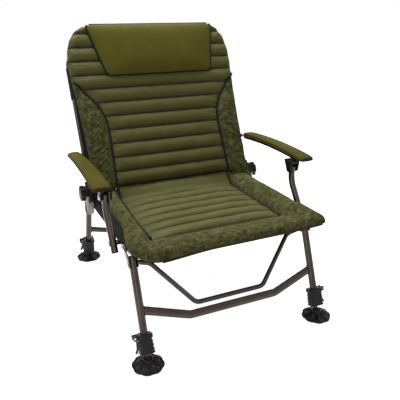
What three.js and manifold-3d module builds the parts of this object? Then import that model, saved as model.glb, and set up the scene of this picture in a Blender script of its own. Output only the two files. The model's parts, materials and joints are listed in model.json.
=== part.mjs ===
// Carp fishing chair: a folding tube frame with a reclining back, linked arms, levelling legs
// and a channelled mattress. Millimetres, X to the sitter's left and right, Y to the back, Z up.
import * as THREE from 'three';
import { mergeVertices } from 'three/addons/utils/BufferGeometryUtils.js';
import Module from 'manifold-3d';

const wasm = await Module();
wasm.setup();

// Clearances
const fitGap = 0.3;
const slideGap = 0.4;
const clothGap = 0.8;
const stopGap = 2;
const cutOverrun = 6;
const weldTolerance = 1e-4;

// Tube stock
const tubeRadius = 11;
const tubeWall = 1.5;
const braceRadius = 7.5;
const crossbarHeight = 25;
const crossbarDepth = 14;
const rearCrossRadius = 9;

// How finely round shapes are cut into flats
const tubeSides = 12;
const bendSteps = 4;
const barSides = 8;
const barBendSteps = 3;
const plateSides = 16;
const housingSides = 20;
const collarCornerSides = 12;
const ballSides = 12;
const ballRows = 8;
const socketSteps = 4;

// Seat frame, from the middle of its front tube
const seatHalfSpan = 297;
const seatFrontHeight = 322;
const seatLength = 574;
const seatFall = 1.3;
const seatCornerRadius = 52;
const rearCrossInset = 14;
const frontPivotInset = 80;
const rearPivotInset = 36;
const postPivotInset = 118;
const reclineRearInset = 110;

// Legs
const legRadius = 11.5;
const legLean = 21;
const legStackGap = 6;
const legBottomHeight = 40;
const collarLength = 58;
const collarWidth = 45;
const collarDepth = 40;
const collarTopShare = 0.84;
const collarCornerRadius = 9;
const collarRibs = 5;
const ribDepth = 1.5;
const ribShare = 0.45;
const innerLegLength = 175;
const neckRadius = 5;
const ballRadius = 9;
const ballHeight = 24;
const plateThickness = 2.5;
const plateEyeRadius = 10;
const plateReach = 62;

// Front leg crossbar and brace, and rear leg crossbar, measured down the legs from their pivot
const crossbarEndDrop = 186;
const crossbarMiddleDrop = 235;
const crossbarEndRun = 149;
const crossbarBend = 40;
const braceDrop = 208;
const braceEndRun = 180;
const braceBarSetback = 16;
const braceKneeInset = 57;
const braceKneeSetback = 24;
const braceKneeDrop = 62;
const braceTopDrop = 44;
const braceBend = 30;

// Clamp levers on the collars
const earReach = 13;
const earHeight = 14;
const earWidth = 24;
const earSlot = 13;
const leverHubRadius = 5;
const leverPinRadius = 2.2;
const leverLength = 46;
const leverThickness = 4;
const leverHook = 6;

// Mud feet
const footRadius = 48;
const footEdge = 7;
const footDome = 17;
const footHubRadius = 15;
const footHubTaper = 2;
const footBulge = 1;
const footSides = 16;
const footFolds = 8;
const footFoldDepth = 3;
const footScallop = 2.5;
const socketRimShare = 0.3;

// Bolts
const boltRadius = 4;
const boltHeadRadius = 7.5;
const boltHeadHeight = 4.5;
const boltSides = 8;

// Arms: the post pivots outside the seat tube and the rear stud on the back tube
const postOffset = 33;
const armLinkBack = 56;
const armLinkRise = 127;
const postTailLength = 28;
const postTopReach = 9;
const postKneeBack = 52;
const postKneeRise = 96;
const postKneeBend = 70;
const postSpacerRadius = 8;
const armPadOffset = 20;
const armPadFrontWidth = 56;
const armPadRearWidth = 44;
const armPadHeight = 19;
const armPadFront = 55;
const armPadRearInset = 15;
const armArch = 10;
const armPadFloor = 33.5;
const armPadSides = 12;
const armPadStationShares = [0, 0.02, 0.07, 0.18, 0.32, 0.46, 0.6, 0.74, 0.87, 0.96, 1];
const armPadRoundEndShare = 0.07;
const armPadEndHeightShare = 0.5;
const armPadEndWidthShare = 0.91;
const armPadSideFullnessShare = 0.5;
const armPadTopFullnessShare = 0.6;
const armPadFlatShare = 0.86;
const armRailOffset = 15;
const armRailWidth = 26;
const armRailThickness = 7;
const armRailFront = 24;
const armRailSteps = 8;
const armRailTailShare = 0.6;
const armEyeRadius = 9;
const armStudCollarRadius = 7;
const bracketWidth = 35;
const bracketEyeRadius = 12;
const bracketFront = 24;
const bracketRear = 42;
const bracketNose = 6.5;

// Back frame, from the recline pivot
const reclineRise = 38;
const backLean = 26;
const backOffset = 12;
const backTubeFoot = 22;
const backShoulder = 470;
const backTop = 572;
const backTopInset = 84;
const backBend = 45;

// Recline hinge
const hingeBlockRadius = 30;
const hingeBlockWidth = 28;
const hingeBracketThickness = 10.4;
const hingeBracketRadius = 24;
const hingeBracketHalfWidth = 21;
const hingeBracketBottom = 78;
const reclineBoltRadius = 5;
const knobRadius = 29;
const knobLobe = 2.2;
const knobLobes = 8;
const knobWidth = 16;
const knobBevel = 2;

// Slings
const slingThickness = 2;
const slingSag = 14;
const slingSteps = 8;
const slingWrapSteps = 4;
const slingWrapStart = 140;
const slingWrapEnd = 72;
const frontWrapSteps = 6;
const frontWrapStart = 210;
const frontWrapEnd = 80;
const slingLap = 12;
const seatSlingRearInset = 40;
const backSlingStart = 36;
const backSlingEnd = 448;

// How full the cushions' channels and bolsters are, as powers of half a sine wave
const channelFullnessShare = 0.7;
const bolsterFullnessShare = 0.8;
const pillowFullnessShare = 0.7;
// How flat a cushion stays before it drops to its sides, as a power of the way across
const panelFlatness = 8;
const pillowFlatness = 4;

// Seat mattress, from the middle of the front tube
const padSideOverhang = 19;
const padFrontOverhang = 38;
const padRearGap = 40;
const padSideBolster = 94;
const padFrontSeam = 84;
const padCornerRadius = 85;
const padRearCornerRadius = 26;
const padSeamRise = 12;
const padEdgeRise = 11;
const padBolsterRise = 27;
const padChannelRise = 13;
const padChannels = 6;
const padPlainEnd = 28;
const padSkirt = 9;
const padLip = 22;
const padLipLength = 60;
const padEdgeRound = 24;
const padEdgeLead = 3;
const padRowsPerChannel = 4;
const padLeadRowShares = [0, 0.03, 0.13, 0.17, 0.19, 0.24, 0.4, 0.56, 0.72, 0.88, 0.96];
const padRearRowShares = [0.32, 0.2, 0.08, 0];
const padInnerColumnShares = [0, 0.6, 0.95, 1];
const padOuterColumnShares = [0.25, 0.55, 0.85, 1];

// Back mattress, from the recline pivot up the back tubes
const matStart = -4;
const matEnd = 592;
const matSeamRise = 31;
const matEdgeRise = 19;
const matChannelRise = 13;
const matChannels = 11;
const matPlainEnd = 31.7;
const matWingRise = 16;
const matWingTop = 366;
const matEdgeRound = 26;
const matRowsPerChannel = 3;
const matPanelShare = 0.72;
const matStartRowShares = [0, 0.1, 0.4];
const matEndRowShares = [0.5, 0.1, 0];
const matInnerColumnShares = [0, 0.55, 0.94, 1];
const matOuterColumnShares = [0.3, 0.6, 0.85, 1];
const matPillowSeat = 37;

// Head pillow
const pillowStart = 410;
const pillowEnd = 590;
const pillowStartInset = 104;
const pillowEndInset = 77;
const pillowEdgeRise = 8;
const pillowCrown = 26;
const pillowCornerRadius = 16;
const pillowColumnShares = [0, 0.35, 0.65, 0.85, 0.96, 1];
const pillowRowShares = [0, 0.05, 0.15, 0.35, 0.6, 0.8, 0.93, 1];

// Outline of the back mattress: shares of its height, and how far inside the back tubes it lies
const matOutlineShares = [0, 0.06, 0.14, 0.34, 0.56, 0.68, 0.78, 0.85, 0.915, 0.965, 1];
const matInsets = [23, 18, 11, 6, -5, -8, -8, -2, 11, 32, 64];
// Side seams of the channelled panel in the same way, up to where their piping meets the edge
const matSeamShares = [0, 0.5, 0.65, 0.79, 1];
const matSeamInsets = [87, 93, 90, 72, 13];

const frame = finish(0x4a4540, 0.35, 0.8);
const blackPlastic = finish(0x1e1b20, 0.55, 0);
const zinc = finish(0xb9ada0, 0.45, 0.6);
const steel = finish(0x8a8780, 0.35, 0.9);
const slingCloth = finish(0x2b2e1c, 0.9, 0);
const bolsterCloth = finish(0x464a2a, 0.95, 0);
const pillowCloth = finish(0x525020, 0.85, 0);

const backHalfSpan = seatHalfSpan + backOffset;
const backTopHalfSpan = backHalfSpan - backTopInset;
const postHalfSpan = seatHalfSpan + postOffset;
const armRailCentre = postHalfSpan + armRailOffset;
const armPadCentre = postHalfSpan + armPadOffset;
const crossbarHalfFlat = seatHalfSpan - crossbarEndRun;
const braceHalfFlat = seatHalfSpan - braceEndRun;
const braceKneeSpan = seatHalfSpan - braceKneeInset;
const reclineInset = seatLength - reclineRearInset;
const reclineHeight = seatFrontHeight + reclineRise;
const armPadRear = reclineInset - postPivotInset - armPadRearInset;
const armPadLength = armPadFront + armPadRear;
const padHalfWidth = seatHalfSpan + padSideOverhang;
const padSeamHalfWidth = padHalfWidth - padSideBolster;
const padRearEnd = reclineInset - padRearGap;
const padChannelPitch = (padRearEnd - padPlainEnd - padFrontSeam) / padChannels;
const matChannelPitch = (matEnd - matPlainEnd - matStart) / matChannels;
const matHalfWidths = matInsets.map((inset) => backHalfSpan - inset);
const matSeamHalfWidths = matSeamInsets.map((inset) => backHalfSpan - inset);
const pillowStartHalf = backHalfSpan - pillowStartInset;
const pillowEndHalf = backHalfSpan - pillowEndInset;
const hingeBlockOuter = backHalfSpan + hingeBlockWidth / 2;
const hingeBracketOuter = hingeBlockOuter + fitGap + hingeBracketThickness;
const hingeBracketInner = seatHalfSpan + tubeRadius + fitGap;
const legOffset = 2 * tubeRadius + legStackGap;
const lean = THREE.MathUtils.degToRad(legLean);
const fall = THREE.MathUtils.degToRad(seatFall);
const recline = THREE.MathUtils.degToRad(backLean);
const cornerFactor = 1 / Math.cos(Math.PI / tubeSides);
const tubeCornerRadius = tubeRadius * cornerFactor;
const legCornerRadius = legRadius * cornerFactor;
const boltBoreRadius = boltRadius + fitGap;
const clothRest = tubeCornerRadius + fitGap + slingThickness + clothGap;
const sides = [-1, 1];
const sideNames = { '-1': 'left', 1: 'right' };

const chair = new THREE.Group();
const seatPlane = new THREE.Group();
seatPlane.position.z = seatFrontHeight;
seatPlane.rotation.x = -fall;
chair.add(seatPlane);
const reclinePoint = vec(0, reclineInset, reclineHeight);
const backPlane = new THREE.Group();
backPlane.position.copy(reclinePoint);
backPlane.rotation.x = -recline;
chair.add(backPlane);

function finish(color, roughness, metalness) {
  return new THREE.MeshStandardMaterial({ color, roughness, metalness });
}

function vec(x, y, z) {
  return new THREE.Vector3(x, y, z);
}

function addPart(parent, name, geometry, material) {
  const mesh = new THREE.Mesh(geometry, material);
  mesh.name = name;
  parent.add(mesh);
  return mesh;
}

// A point on the seat tubes' centre line, a distance behind the front tube
function seatPoint(x, distance) {
  return vec(x, distance * Math.cos(fall), seatFrontHeight - distance * Math.sin(fall));
}

// Solids and booleans

function solidOf(geometry) {
  const bare = geometry.clone();
  bare.deleteAttribute('normal');
  bare.deleteAttribute('uv');
  const merged = mergeVertices(bare, weldTolerance);
  const vertProperties = new Float32Array(merged.attributes.position.array);
  const triVerts = new Uint32Array(merged.index.array);
  return new wasm.Manifold(new wasm.Mesh({ numProp: 3, vertProperties, triVerts }));
}

function geometryOf(solid) {
  const mesh = solid.getMesh();
  const geometry = new THREE.BufferGeometry();
  geometry.setAttribute('position', new THREE.BufferAttribute(mesh.vertProperties, 3));
  geometry.setIndex(new THREE.BufferAttribute(mesh.triVerts, 1));
  geometry.computeVertexNormals();
  return geometry;
}

function cut(geometry, cutters) {
  const whole = solidOf(geometry);
  return geometryOf(cutters.reduce((solid, cutter) => solid.subtract(solidOf(cutter)), whole));
}

function join(geometries) {
  const solids = geometries.map(solidOf);
  return geometryOf(solids.reduce((whole, solid) => whole.add(solid)));
}

// Basic shapes

// A regular polygon whose flats stand at the radius, so that round stock keeps its size
function ring(radius, count) {
  const corner = radius / Math.cos(Math.PI / count);
  return Array.from({ length: count }, (unused, index) => {
    const angle = (2 * Math.PI * (index + 0.5)) / count;
    return new THREE.Vector2(corner * Math.cos(angle), corner * Math.sin(angle));
  });
}

function pipeShape(radius, wall, count = tubeSides) {
  const shape = new THREE.Shape(ring(radius, count));
  shape.holes.push(new THREE.Path(ring(radius - wall, count)));
  return shape;
}

// An upright bar or pipe between two heights
function upright(shape, bottom, top) {
  const geometry = new THREE.ExtrudeGeometry(shape, { depth: top - bottom, bevelEnabled: false });
  return geometry.translate(0, 0, bottom);
}

// A round bar along X between two places, at a height and depth
function crossPin(radius, from, to, y, z, count = boltSides) {
  const geometry = upright(new THREE.Shape(ring(radius, count)), from, to);
  return geometry.rotateY(Math.PI / 2).translate(0, y, z);
}

// A turned piece along X, its profile given as pairs of distance along X and radius
function turnedPin(profile, y, z) {
  const points = profile.map(([along, radius]) => new THREE.Vector2(radius, along));
  const geometry = new THREE.LatheGeometry(points, boltSides);
  return geometry.rotateZ(-Math.PI / 2).translate(0, y, z);
}

function mirrorToSide(geometry, side) {
  if (side > 0) {
    return geometry;
  }
  const mirrored = geometry.index ? geometry.toNonIndexed() : geometry.clone();
  const position = mirrored.attributes.position;
  for (let index = 0; index < position.count; index += 3) {
    const kept = [index, index + 2, index + 1].map((from) => [
      -position.getX(from), position.getY(from), position.getZ(from),
    ]);
    kept.forEach((place, offset) => position.setXYZ(index + offset, ...place));
  }
  mirrored.computeVertexNormals();
  return mirrored;
}

// A plate in the YZ plane with the thickness along X
function sidePlate(outline, from, to) {
  const geometry = new THREE.ExtrudeGeometry(new THREE.Shape(outline), {
    depth: to - from,
    bevelEnabled: false,
  });
  return geometry.rotateY(Math.PI / 2).rotateX(Math.PI / 2).translate(from, 0, 0);
}

function roundPoints(y, z, radius, count = plateSides) {
  return Array.from({ length: count }, (unused, index) => {
    const angle = (2 * Math.PI * index) / count;
    return new THREE.Vector2(y + radius * Math.cos(angle), z + radius * Math.sin(angle));
  });
}

// The smallest convex outline round a set of points
function wrapOutline(points) {
  const sorted = [...points].sort((a, b) => a.x - b.x || a.y - b.y);
  const turn = (o, a, b) => (a.x - o.x) * (b.y - o.y) - (a.y - o.y) * (b.x - o.x);
  const half = (list) => {
    const chain = [];
    for (const point of list) {
      while (chain.length > 1 && turn(chain.at(-2), chain.at(-1), point) <= weldTolerance) {
        chain.pop();
      }
      chain.push(point);
    }
    return chain.slice(0, -1);
  };
  return [...half(sorted), ...half(sorted.reverse())];
}

// The same bolt on both sides of the chair
function addPair(name, geometry) {
  sides.forEach((side) => {
    addPart(chair, `${name}_${sideNames[side]}`, mirrorToSide(geometry, side), steel);
  });
}

// A closed body through rings of equal count, with fanned ends
function loft(places, ringCount) {
  const rings = places.length / 3 / ringCount;
  const faces = [];
  for (let level = 0; level < rings - 1; level += 1) {
    for (let index = 0; index < ringCount; index += 1) {
      const a = level * ringCount + index;
      const b = level * ringCount + ((index + 1) % ringCount);
      faces.push(a, a + ringCount, b, b, a + ringCount, b + ringCount);
    }
  }
  const last = (rings - 1) * ringCount;
  for (let index = 1; index < ringCount - 1; index += 1) {
    faces.push(0, index, index + 1);
    faces.push(last, last + index + 1, last + index);
  }
  const geometry = new THREE.BufferGeometry();
  geometry.setAttribute('position', new THREE.Float32BufferAttribute(places, 3));
  geometry.setIndex(faces);
  geometry.computeVertexNormals();
  return geometry;
}

// Tubes along bent paths

class StationPath extends THREE.Curve {
  constructor(stations) {
    super();
    this.stations = stations;
  }

  getPoint(share, target = new THREE.Vector3()) {
    const place = share * (this.stations.length - 1);
    const index = Math.min(Math.floor(place), this.stations.length - 2);
    return target.lerpVectors(this.stations[index], this.stations[index + 1], place - index);
  }

  getUtoTmapping(share) {
    return share;
  }
}

function bentPath(corners, bendRadius, steps = bendSteps) {
  const stations = [corners[0]];
  for (let index = 1; index < corners.length - 1; index += 1) {
    const corner = corners[index];
    const back = corners[index - 1].clone().sub(corner).normalize();
    const ahead = corners[index + 1].clone().sub(corner).normalize();
    const turn = Math.PI - back.angleTo(ahead);
    const setback = bendRadius * Math.tan(turn / 2);
    const centre = back.clone().add(ahead).normalize();
    centre.multiplyScalar(bendRadius / Math.cos(turn / 2)).add(corner);
    const start = back.multiplyScalar(setback).add(corner).sub(centre);
    const end = ahead.multiplyScalar(setback).add(corner).sub(centre);
    for (let step = 0; step <= steps; step += 1) {
      const swept = (turn * step) / steps;
      const place = start.clone().multiplyScalar(Math.sin(turn - swept) / Math.sin(turn));
      place.addScaledVector(end, Math.sin(swept) / Math.sin(turn)).add(centre);
      stations.push(place);
    }
  }
  stations.push(corners.at(-1));
  return stations;
}

function sweep(shape, stations) {
  const extrudePath = new StationPath(stations);
  const steps = stations.length - 1;
  return new THREE.ExtrudeGeometry(shape, { steps, extrudePath, bevelEnabled: false });
}

// Seat frame

function buildSeatFrame() {
  const corners = [
    vec(-seatHalfSpan, seatLength, 0),
    vec(-seatHalfSpan, 0, 0),
    vec(seatHalfSpan, 0, 0),
    vec(seatHalfSpan, seatLength, 0),
  ];
  const tube = sweep(pipeShape(tubeRadius, tubeWall), bentPath(corners, seatCornerRadius));
  const bores = [frontPivotInset, seatLength - rearPivotInset, postPivotInset].flatMap((distance) =>
    sides.map((side) => {
      const middle = side * seatHalfSpan;
      const reach = tubeRadius + cutOverrun;
      return crossPin(boltBoreRadius, middle - reach, middle + reach, distance, 0);
    }));
  addPart(seatPlane, 'seat_frame', cut(tube, bores), frame);

  const reach = seatHalfSpan - tubeRadius - fitGap;
  const cross = upright(pipeShape(rearCrossRadius, tubeWall), -reach, reach).rotateY(Math.PI / 2);
  const platesInner = reach - plateThickness - stopGap;
  const notches = sides.map((side) => {
    const notch = new THREE.BoxGeometry(2 * plateReach, 2 * plateReach, 2 * plateReach);
    return notch.translate(side * (platesInner + plateReach), 0, rearCrossRadius / 2 - plateReach);
  });
  const place = seatLength - rearCrossInset;
  addPart(seatPlane, 'seat_rear_crossbar', cut(cross, notches).translate(0, place, 0), frame);
}

// Slings: cloth over two tubes that sags between them

function sagAt(x, halfSpan) {
  const share = x / (halfSpan - tubeRadius);
  return slingSag * Math.max(0, 1 - share * share);
}

function slingLine(halfSpan, lift) {
  const radius = tubeCornerRadius + fitGap + lift;
  const wrap = [];
  for (let step = 0; step <= slingWrapSteps; step += 1) {
    const degrees = slingWrapStart + ((slingWrapEnd - slingWrapStart) * step) / slingWrapSteps;
    const angle = THREE.MathUtils.degToRad(degrees);
    wrap.push(new THREE.Vector2(-halfSpan + radius * Math.cos(angle), radius * Math.sin(angle)));
  }
  const middle = [];
  const inner = wrap.at(-1).x;
  for (let step = 1; step < slingSteps; step += 1) {
    const x = inner * (1 - (2 * step) / slingSteps);
    middle.push(new THREE.Vector2(x, radius - sagAt(x, halfSpan)));
  }
  const mirrored = wrap.map((point) => new THREE.Vector2(-point.x, point.y)).reverse();
  return [...wrap, ...middle, ...mirrored];
}

function slingPanel(halfSpan, from, to) {
  const outline = [...slingLine(halfSpan, 0), ...slingLine(halfSpan, slingThickness).reverse()];
  return upright(new THREE.Shape(outline), -to, -from);
}

// The front edge of the seat sling, wrapped over the front tube between its corners
function frontWrap(rearEdge) {
  const lines = [0, slingThickness].map((lift) => {
    const radius = tubeCornerRadius + fitGap + lift;
    const wrap = [];
    for (let step = 0; step <= frontWrapSteps; step += 1) {
      const degrees = frontWrapStart + ((frontWrapEnd - frontWrapStart) * step) / frontWrapSteps;
      const angle = THREE.MathUtils.degToRad(degrees);
      wrap.push(new THREE.Vector2(radius * Math.cos(angle), radius * Math.sin(angle)));
    }
    wrap.push(new THREE.Vector2(rearEdge, radius - slingSag / 2));
    return wrap;
  });
  const outline = [...lines[0], ...lines[1].reverse()];
  const reach = seatHalfSpan - seatCornerRadius;
  return sidePlate(outline, -reach, reach);
}

function buildSeatSling() {
  const front = seatCornerRadius;
  const panel = slingPanel(seatHalfSpan, front, seatLength - seatSlingRearInset);
  panel.rotateX(Math.PI / 2);
  addPart(seatPlane, 'seat_sling', join([panel, frontWrap(front + slingLap)]), slingCloth);
}

function buildBackSling() {
  const panel = slingPanel(backHalfSpan, backSlingStart, backSlingEnd);
  panel.rotateZ(Math.PI).translate(0, 0, backSlingStart + backSlingEnd);
  addPart(backPlane, 'back_sling', panel, slingCloth);
}

// Padded pieces: a grid of points with a face surface and a back surface that meet at the edge

function cushion(columns, rows, pointAt) {
  const places = [];
  const faces = [];
  const across = columns.length;
  const isEdge = (i, j) => i === 0 || j === 0 || i === across - 1 || j === rows.length - 1;
  const faceIndex = [];
  const backIndex = [];
  rows.forEach((row, j) => {
    columns.forEach((column, i) => {
      const { face, back } = pointAt(column, row, isEdge(i, j));
      faceIndex.push(places.length);
      places.push(face);
      if (isEdge(i, j)) {
        backIndex.push(faceIndex.at(-1));
      } else {
        backIndex.push(places.length);
        places.push(back);
      }
    });
  });
  for (let j = 0; j < rows.length - 1; j += 1) {
    for (let i = 0; i < across - 1; i += 1) {
      const corner = j * across + i;
      const quad = [corner, corner + 1, corner + across + 1, corner + across];
      const [a, b, c, d] = quad.map((index) => faceIndex[index]);
      faces.push(a, b, c, a, c, d);
      const [e, f, g, h] = quad.map((index) => backIndex[index]);
      faces.push(e, g, f, e, h, g);
    }
  }
  const geometry = new THREE.BufferGeometry();
  const numbers = places.flatMap((place) => place.toArray());
  geometry.setAttribute('position', new THREE.Float32BufferAttribute(numbers, 3));
  geometry.setIndex(faces);
  geometry.computeVertexNormals();
  return geometry;
}

function tableAt(shares, values, share) {
  const clamped = Math.min(Math.max(share, shares[0]), shares.at(-1));
  const index = Math.min(shares.findLastIndex((known) => known <= clamped), shares.length - 2);
  const part = (clamped - shares[index]) / (shares[index + 1] - shares[index]);
  return THREE.MathUtils.lerp(values[index], values[index + 1], part);
}

// Height of a rounded edge as a share, from 0 at the edge to 1 at the given distance inside it
function edgeRise(inside, roundness) {
  const share = Math.min(inside / roundness, 1);
  return Math.sqrt(1 - (1 - share) * (1 - share));
}

function channelShare(place, start, pitch) {
  return Math.abs(Math.sin((Math.PI * (place - start)) / pitch)) ** channelFullnessShare;
}

// Rows through a run of channels, so that both their seams and their crowns show
function channelRows(start, pitch, count, rowsEach) {
  const length = rowsEach * count + 1;
  return Array.from({ length }, (unused, index) => start + (pitch * index) / rowsEach);
}

function mirroredShares(shares) {
  return [...shares.slice(1).map((share) => -share).reverse(), ...shares];
}

// How much narrower a rounded corner makes an outline at a distance inside its end
function cornerLoss(inside, radius) {
  const depth = Math.max(radius - inside, 0);
  return radius - Math.sqrt(radius * radius - depth * depth);
}

function seatHalfWidthAt(y) {
  const frontLoss = cornerLoss(y + padFrontOverhang, padCornerRadius);
  return padHalfWidth - frontLoss - cornerLoss(padRearEnd - y, padRearCornerRadius);
}

function buildSeatMattress() {
  const seam = padSeamHalfWidth / padHalfWidth;
  const innerColumns = padInnerColumnShares.map((share) => seam * share);
  const outerColumns = padOuterColumnShares.map((share) => seam + (1 - seam) * share);
  const columns = mirroredShares([...innerColumns, ...outerColumns]);
  const frontDepth = padFrontSeam + padFrontOverhang;
  const frontRows = padLeadRowShares.map((share) => frontDepth * share - padFrontOverhang);
  const middleRows = channelRows(padFrontSeam, padChannelPitch, padChannels, padRowsPerChannel);
  const rearRows = padRearRowShares.map((share) => padRearEnd - padLipLength * share);
  const skirtEnd = -clothRest - clothGap;
  const wrapEnd = seatCornerRadius + slingLap;

  const pointAt = (column, y, edge) => {
    const x = column * seatHalfWidthAt(y);
    const level = y * Math.tan(fall);
    const sideShare = Math.max(0, (Math.abs(column) - seam) / (1 - seam));
    const frontShare = Math.max(0, (padFrontSeam - y) / frontDepth);
    const bolster = Math.max(sideShare, frontShare);
    const lip = padLip * THREE.MathUtils.smoothstep(y, padRearEnd - padLipLength, padRearEnd);
    const sideFade = 1 - Math.min(1, Math.abs(column) / seam) ** panelFlatness;
    const channelCrown = padChannelRise * channelShare(y, padFrontSeam, padChannelPitch) * sideFade;
    const bolsterCrown = padBolsterRise * Math.sin(Math.PI * bolster) ** bolsterFullnessShare;
    const crown = bolster > 0 ? bolsterCrown - (padSeamRise - padEdgeRise) * bolster : channelCrown;
    const rearRise = edgeRise(padRearEnd - y + padEdgeLead, padEdgeRound);
    const top = (padSeamRise + crown + lip) * rearRise;
    const sagShare = THREE.MathUtils.smoothstep(y, wrapEnd, 2 * wrapEnd);
    const rest = clothRest - sagAt(x, seatHalfSpan) * sagShare;
    const hangs = y < skirtEnd;
    const frontEdge = hangs ? padEdgeRise - padSkirt / 2 : padEdgeRise;
    const edgeHeight = y >= padRearEnd ? rest + padLip / 2 : frontEdge;
    return {
      face: vec(x, y, level + (edge ? edgeHeight : Math.max(top, rest + clothGap - level))),
      back: vec(x, y, hangs ? -padSkirt : rest),
    };
  };
  const rows = [...frontRows, ...middleRows, ...rearRows];
  addPart(seatPlane, 'seat_mattress', cushion(columns, rows, pointAt), bolsterCloth);
}

function matHalfWidthAt(s) {
  return tableAt(matOutlineShares, matHalfWidths, (s - matStart) / (matEnd - matStart));
}

function buildBackMattress() {
  const innerColumns = matInnerColumnShares.map((share) => matPanelShare * share);
  const wingShare = 1 - matPanelShare;
  const outerColumns = matOuterColumnShares.map((share) => matPanelShare + wingShare * share);
  const columns = mirroredShares([...innerColumns, ...outerColumns]);
  const rows = [
    ...matStartRowShares.map((share) => matStart + matEdgeRound * share),
    ...channelRows(matStart, matChannelPitch, matChannels, matRowsPerChannel).slice(1),
    ...matEndRowShares.map((share) => matEnd - matEdgeRound * share),
  ];

  const pointAt = (column, s, edge) => {
    const half = matHalfWidthAt(s);
    const isWing = s < matWingTop;
    const wingSeam = tableAt(matSeamShares, matSeamHalfWidths, (s - matStart) / matWingTop);
    const seamHalf = isWing ? wingSeam : half * matPanelShare;
    const across = Math.abs(column);
    const inPanel = across <= matPanelShare;
    const wing = inPanel ? 0 : (across - matPanelShare) / wingShare;
    const panelOffset = (across / matPanelShare) * seamHalf;
    const offset = inPanel ? panelOffset : seamHalf + wing * (half - seamHalf);
    const x = Math.sign(column) * offset;
    const channel = matChannelRise * channelShare(s, matStart, matChannelPitch);
    const wingWidth = (half - seamHalf) / (half * wingShare);
    const wingFullness = Math.max(0, Math.sin(Math.PI * wing)) ** bolsterFullnessShare;
    const wingCrown = matWingRise * wingWidth * wingFullness;
    const panelCrown = channel * (1 - (across / matPanelShare) ** panelFlatness);
    const endRise = edgeRise(Math.min(s - matStart, matEnd - s), matEdgeRound);
    const sideRise = isWing ? 1 : edgeRise(half - offset, matEdgeRound);
    const crown = isWing ? (inPanel ? panelCrown : wingCrown) : channel;
    const underPillow = s > pillowStart - matEdgeRound && offset < pillowEndHalf + matEdgeRound;
    const seated = Math.min(matSeamRise + crown, matPillowSeat - clothGap);
    const fullFace = underPillow ? seated : matSeamRise + crown;
    const faceRise = THREE.MathUtils.lerp(matEdgeRise, fullFace, Math.min(endRise, sideRise));
    const sagShare = 1 - THREE.MathUtils.smoothstep(s, backSlingEnd, backShoulder + backBend);
    const rest = clothRest - sagAt(x, backHalfSpan) * sagShare;
    return {
      face: vec(x, edge ? -matEdgeRise : -faceRise, s),
      back: vec(x, -rest, s),
    };
  };
  addPart(backPlane, 'back_mattress', cushion(columns, rows, pointAt), bolsterCloth);
}

function buildHeadPillow() {
  const columns = mirroredShares(pillowColumnShares);
  const rows = pillowRowShares.map((share) => THREE.MathUtils.lerp(pillowStart, pillowEnd, share));
  const pointAt = (column, s, edge) => {
    const loss = cornerLoss(Math.min(s - pillowStart, pillowEnd - s), pillowCornerRadius);
    const share = (s - pillowStart) / (pillowEnd - pillowStart);
    const half = THREE.MathUtils.lerp(pillowStartHalf, pillowEndHalf, share) - loss;
    const x = column * half;
    const swell = (1 - column ** pillowFlatness) * (1 - (2 * share - 1) ** pillowFlatness);
    const rise = pillowEdgeRise + (pillowCrown - pillowEdgeRise) * swell ** pillowFullnessShare;
    return {
      face: vec(x, -matPillowSeat - (edge ? pillowEdgeRise / 2 : rise), s),
      back: vec(x, -matPillowSeat, s),
    };
  };
  addPart(backPlane, 'head_pillow', cushion(columns, rows, pointAt), pillowCloth);
}

// Back frame and recline hinge

function buildBackFrame() {
  const corners = [
    vec(-backHalfSpan, 0, -backTubeFoot),
    vec(-backHalfSpan, 0, backShoulder),
    vec(-backTopHalfSpan, 0, backTop),
    vec(backTopHalfSpan, 0, backTop),
    vec(backHalfSpan, 0, backShoulder),
    vec(backHalfSpan, 0, -backTubeFoot),
  ];
  const tube = sweep(pipeShape(tubeRadius, tubeWall), bentPath(corners, backBend));
  const bores = sides.map((side) => {
    const middle = side * backHalfSpan;
    const reach = tubeRadius + cutOverrun;
    return crossPin(reclineBoltRadius + fitGap, middle - reach, middle + reach, 0, 0);
  });
  addPart(backPlane, 'back_frame', cut(tube, bores), frame);

  sides.forEach((side) => {
    const inner = backHalfSpan - hingeBlockWidth / 2;
    const outer = inner + hingeBlockWidth;
    const disc = crossPin(hingeBlockRadius, inner, outer, 0, 0, housingSides);
    const round = new THREE.Shape(ring(tubeCornerRadius + fitGap, tubeSides));
    const channel = upright(round, -backTubeFoot - fitGap, hingeBlockRadius + cutOverrun);
    channel.translate(backHalfSpan, 0, 0);
    const boreRadius = reclineBoltRadius + fitGap;
    const bore = crossPin(boreRadius, inner - cutOverrun, outer + cutOverrun, 0, 0);
    const block = cut(disc, [channel, bore]);
    addPart(backPlane, `back_hinge_${sideNames[side]}`, mirrorToSide(block, side), blackPlastic);
  });
}

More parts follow.
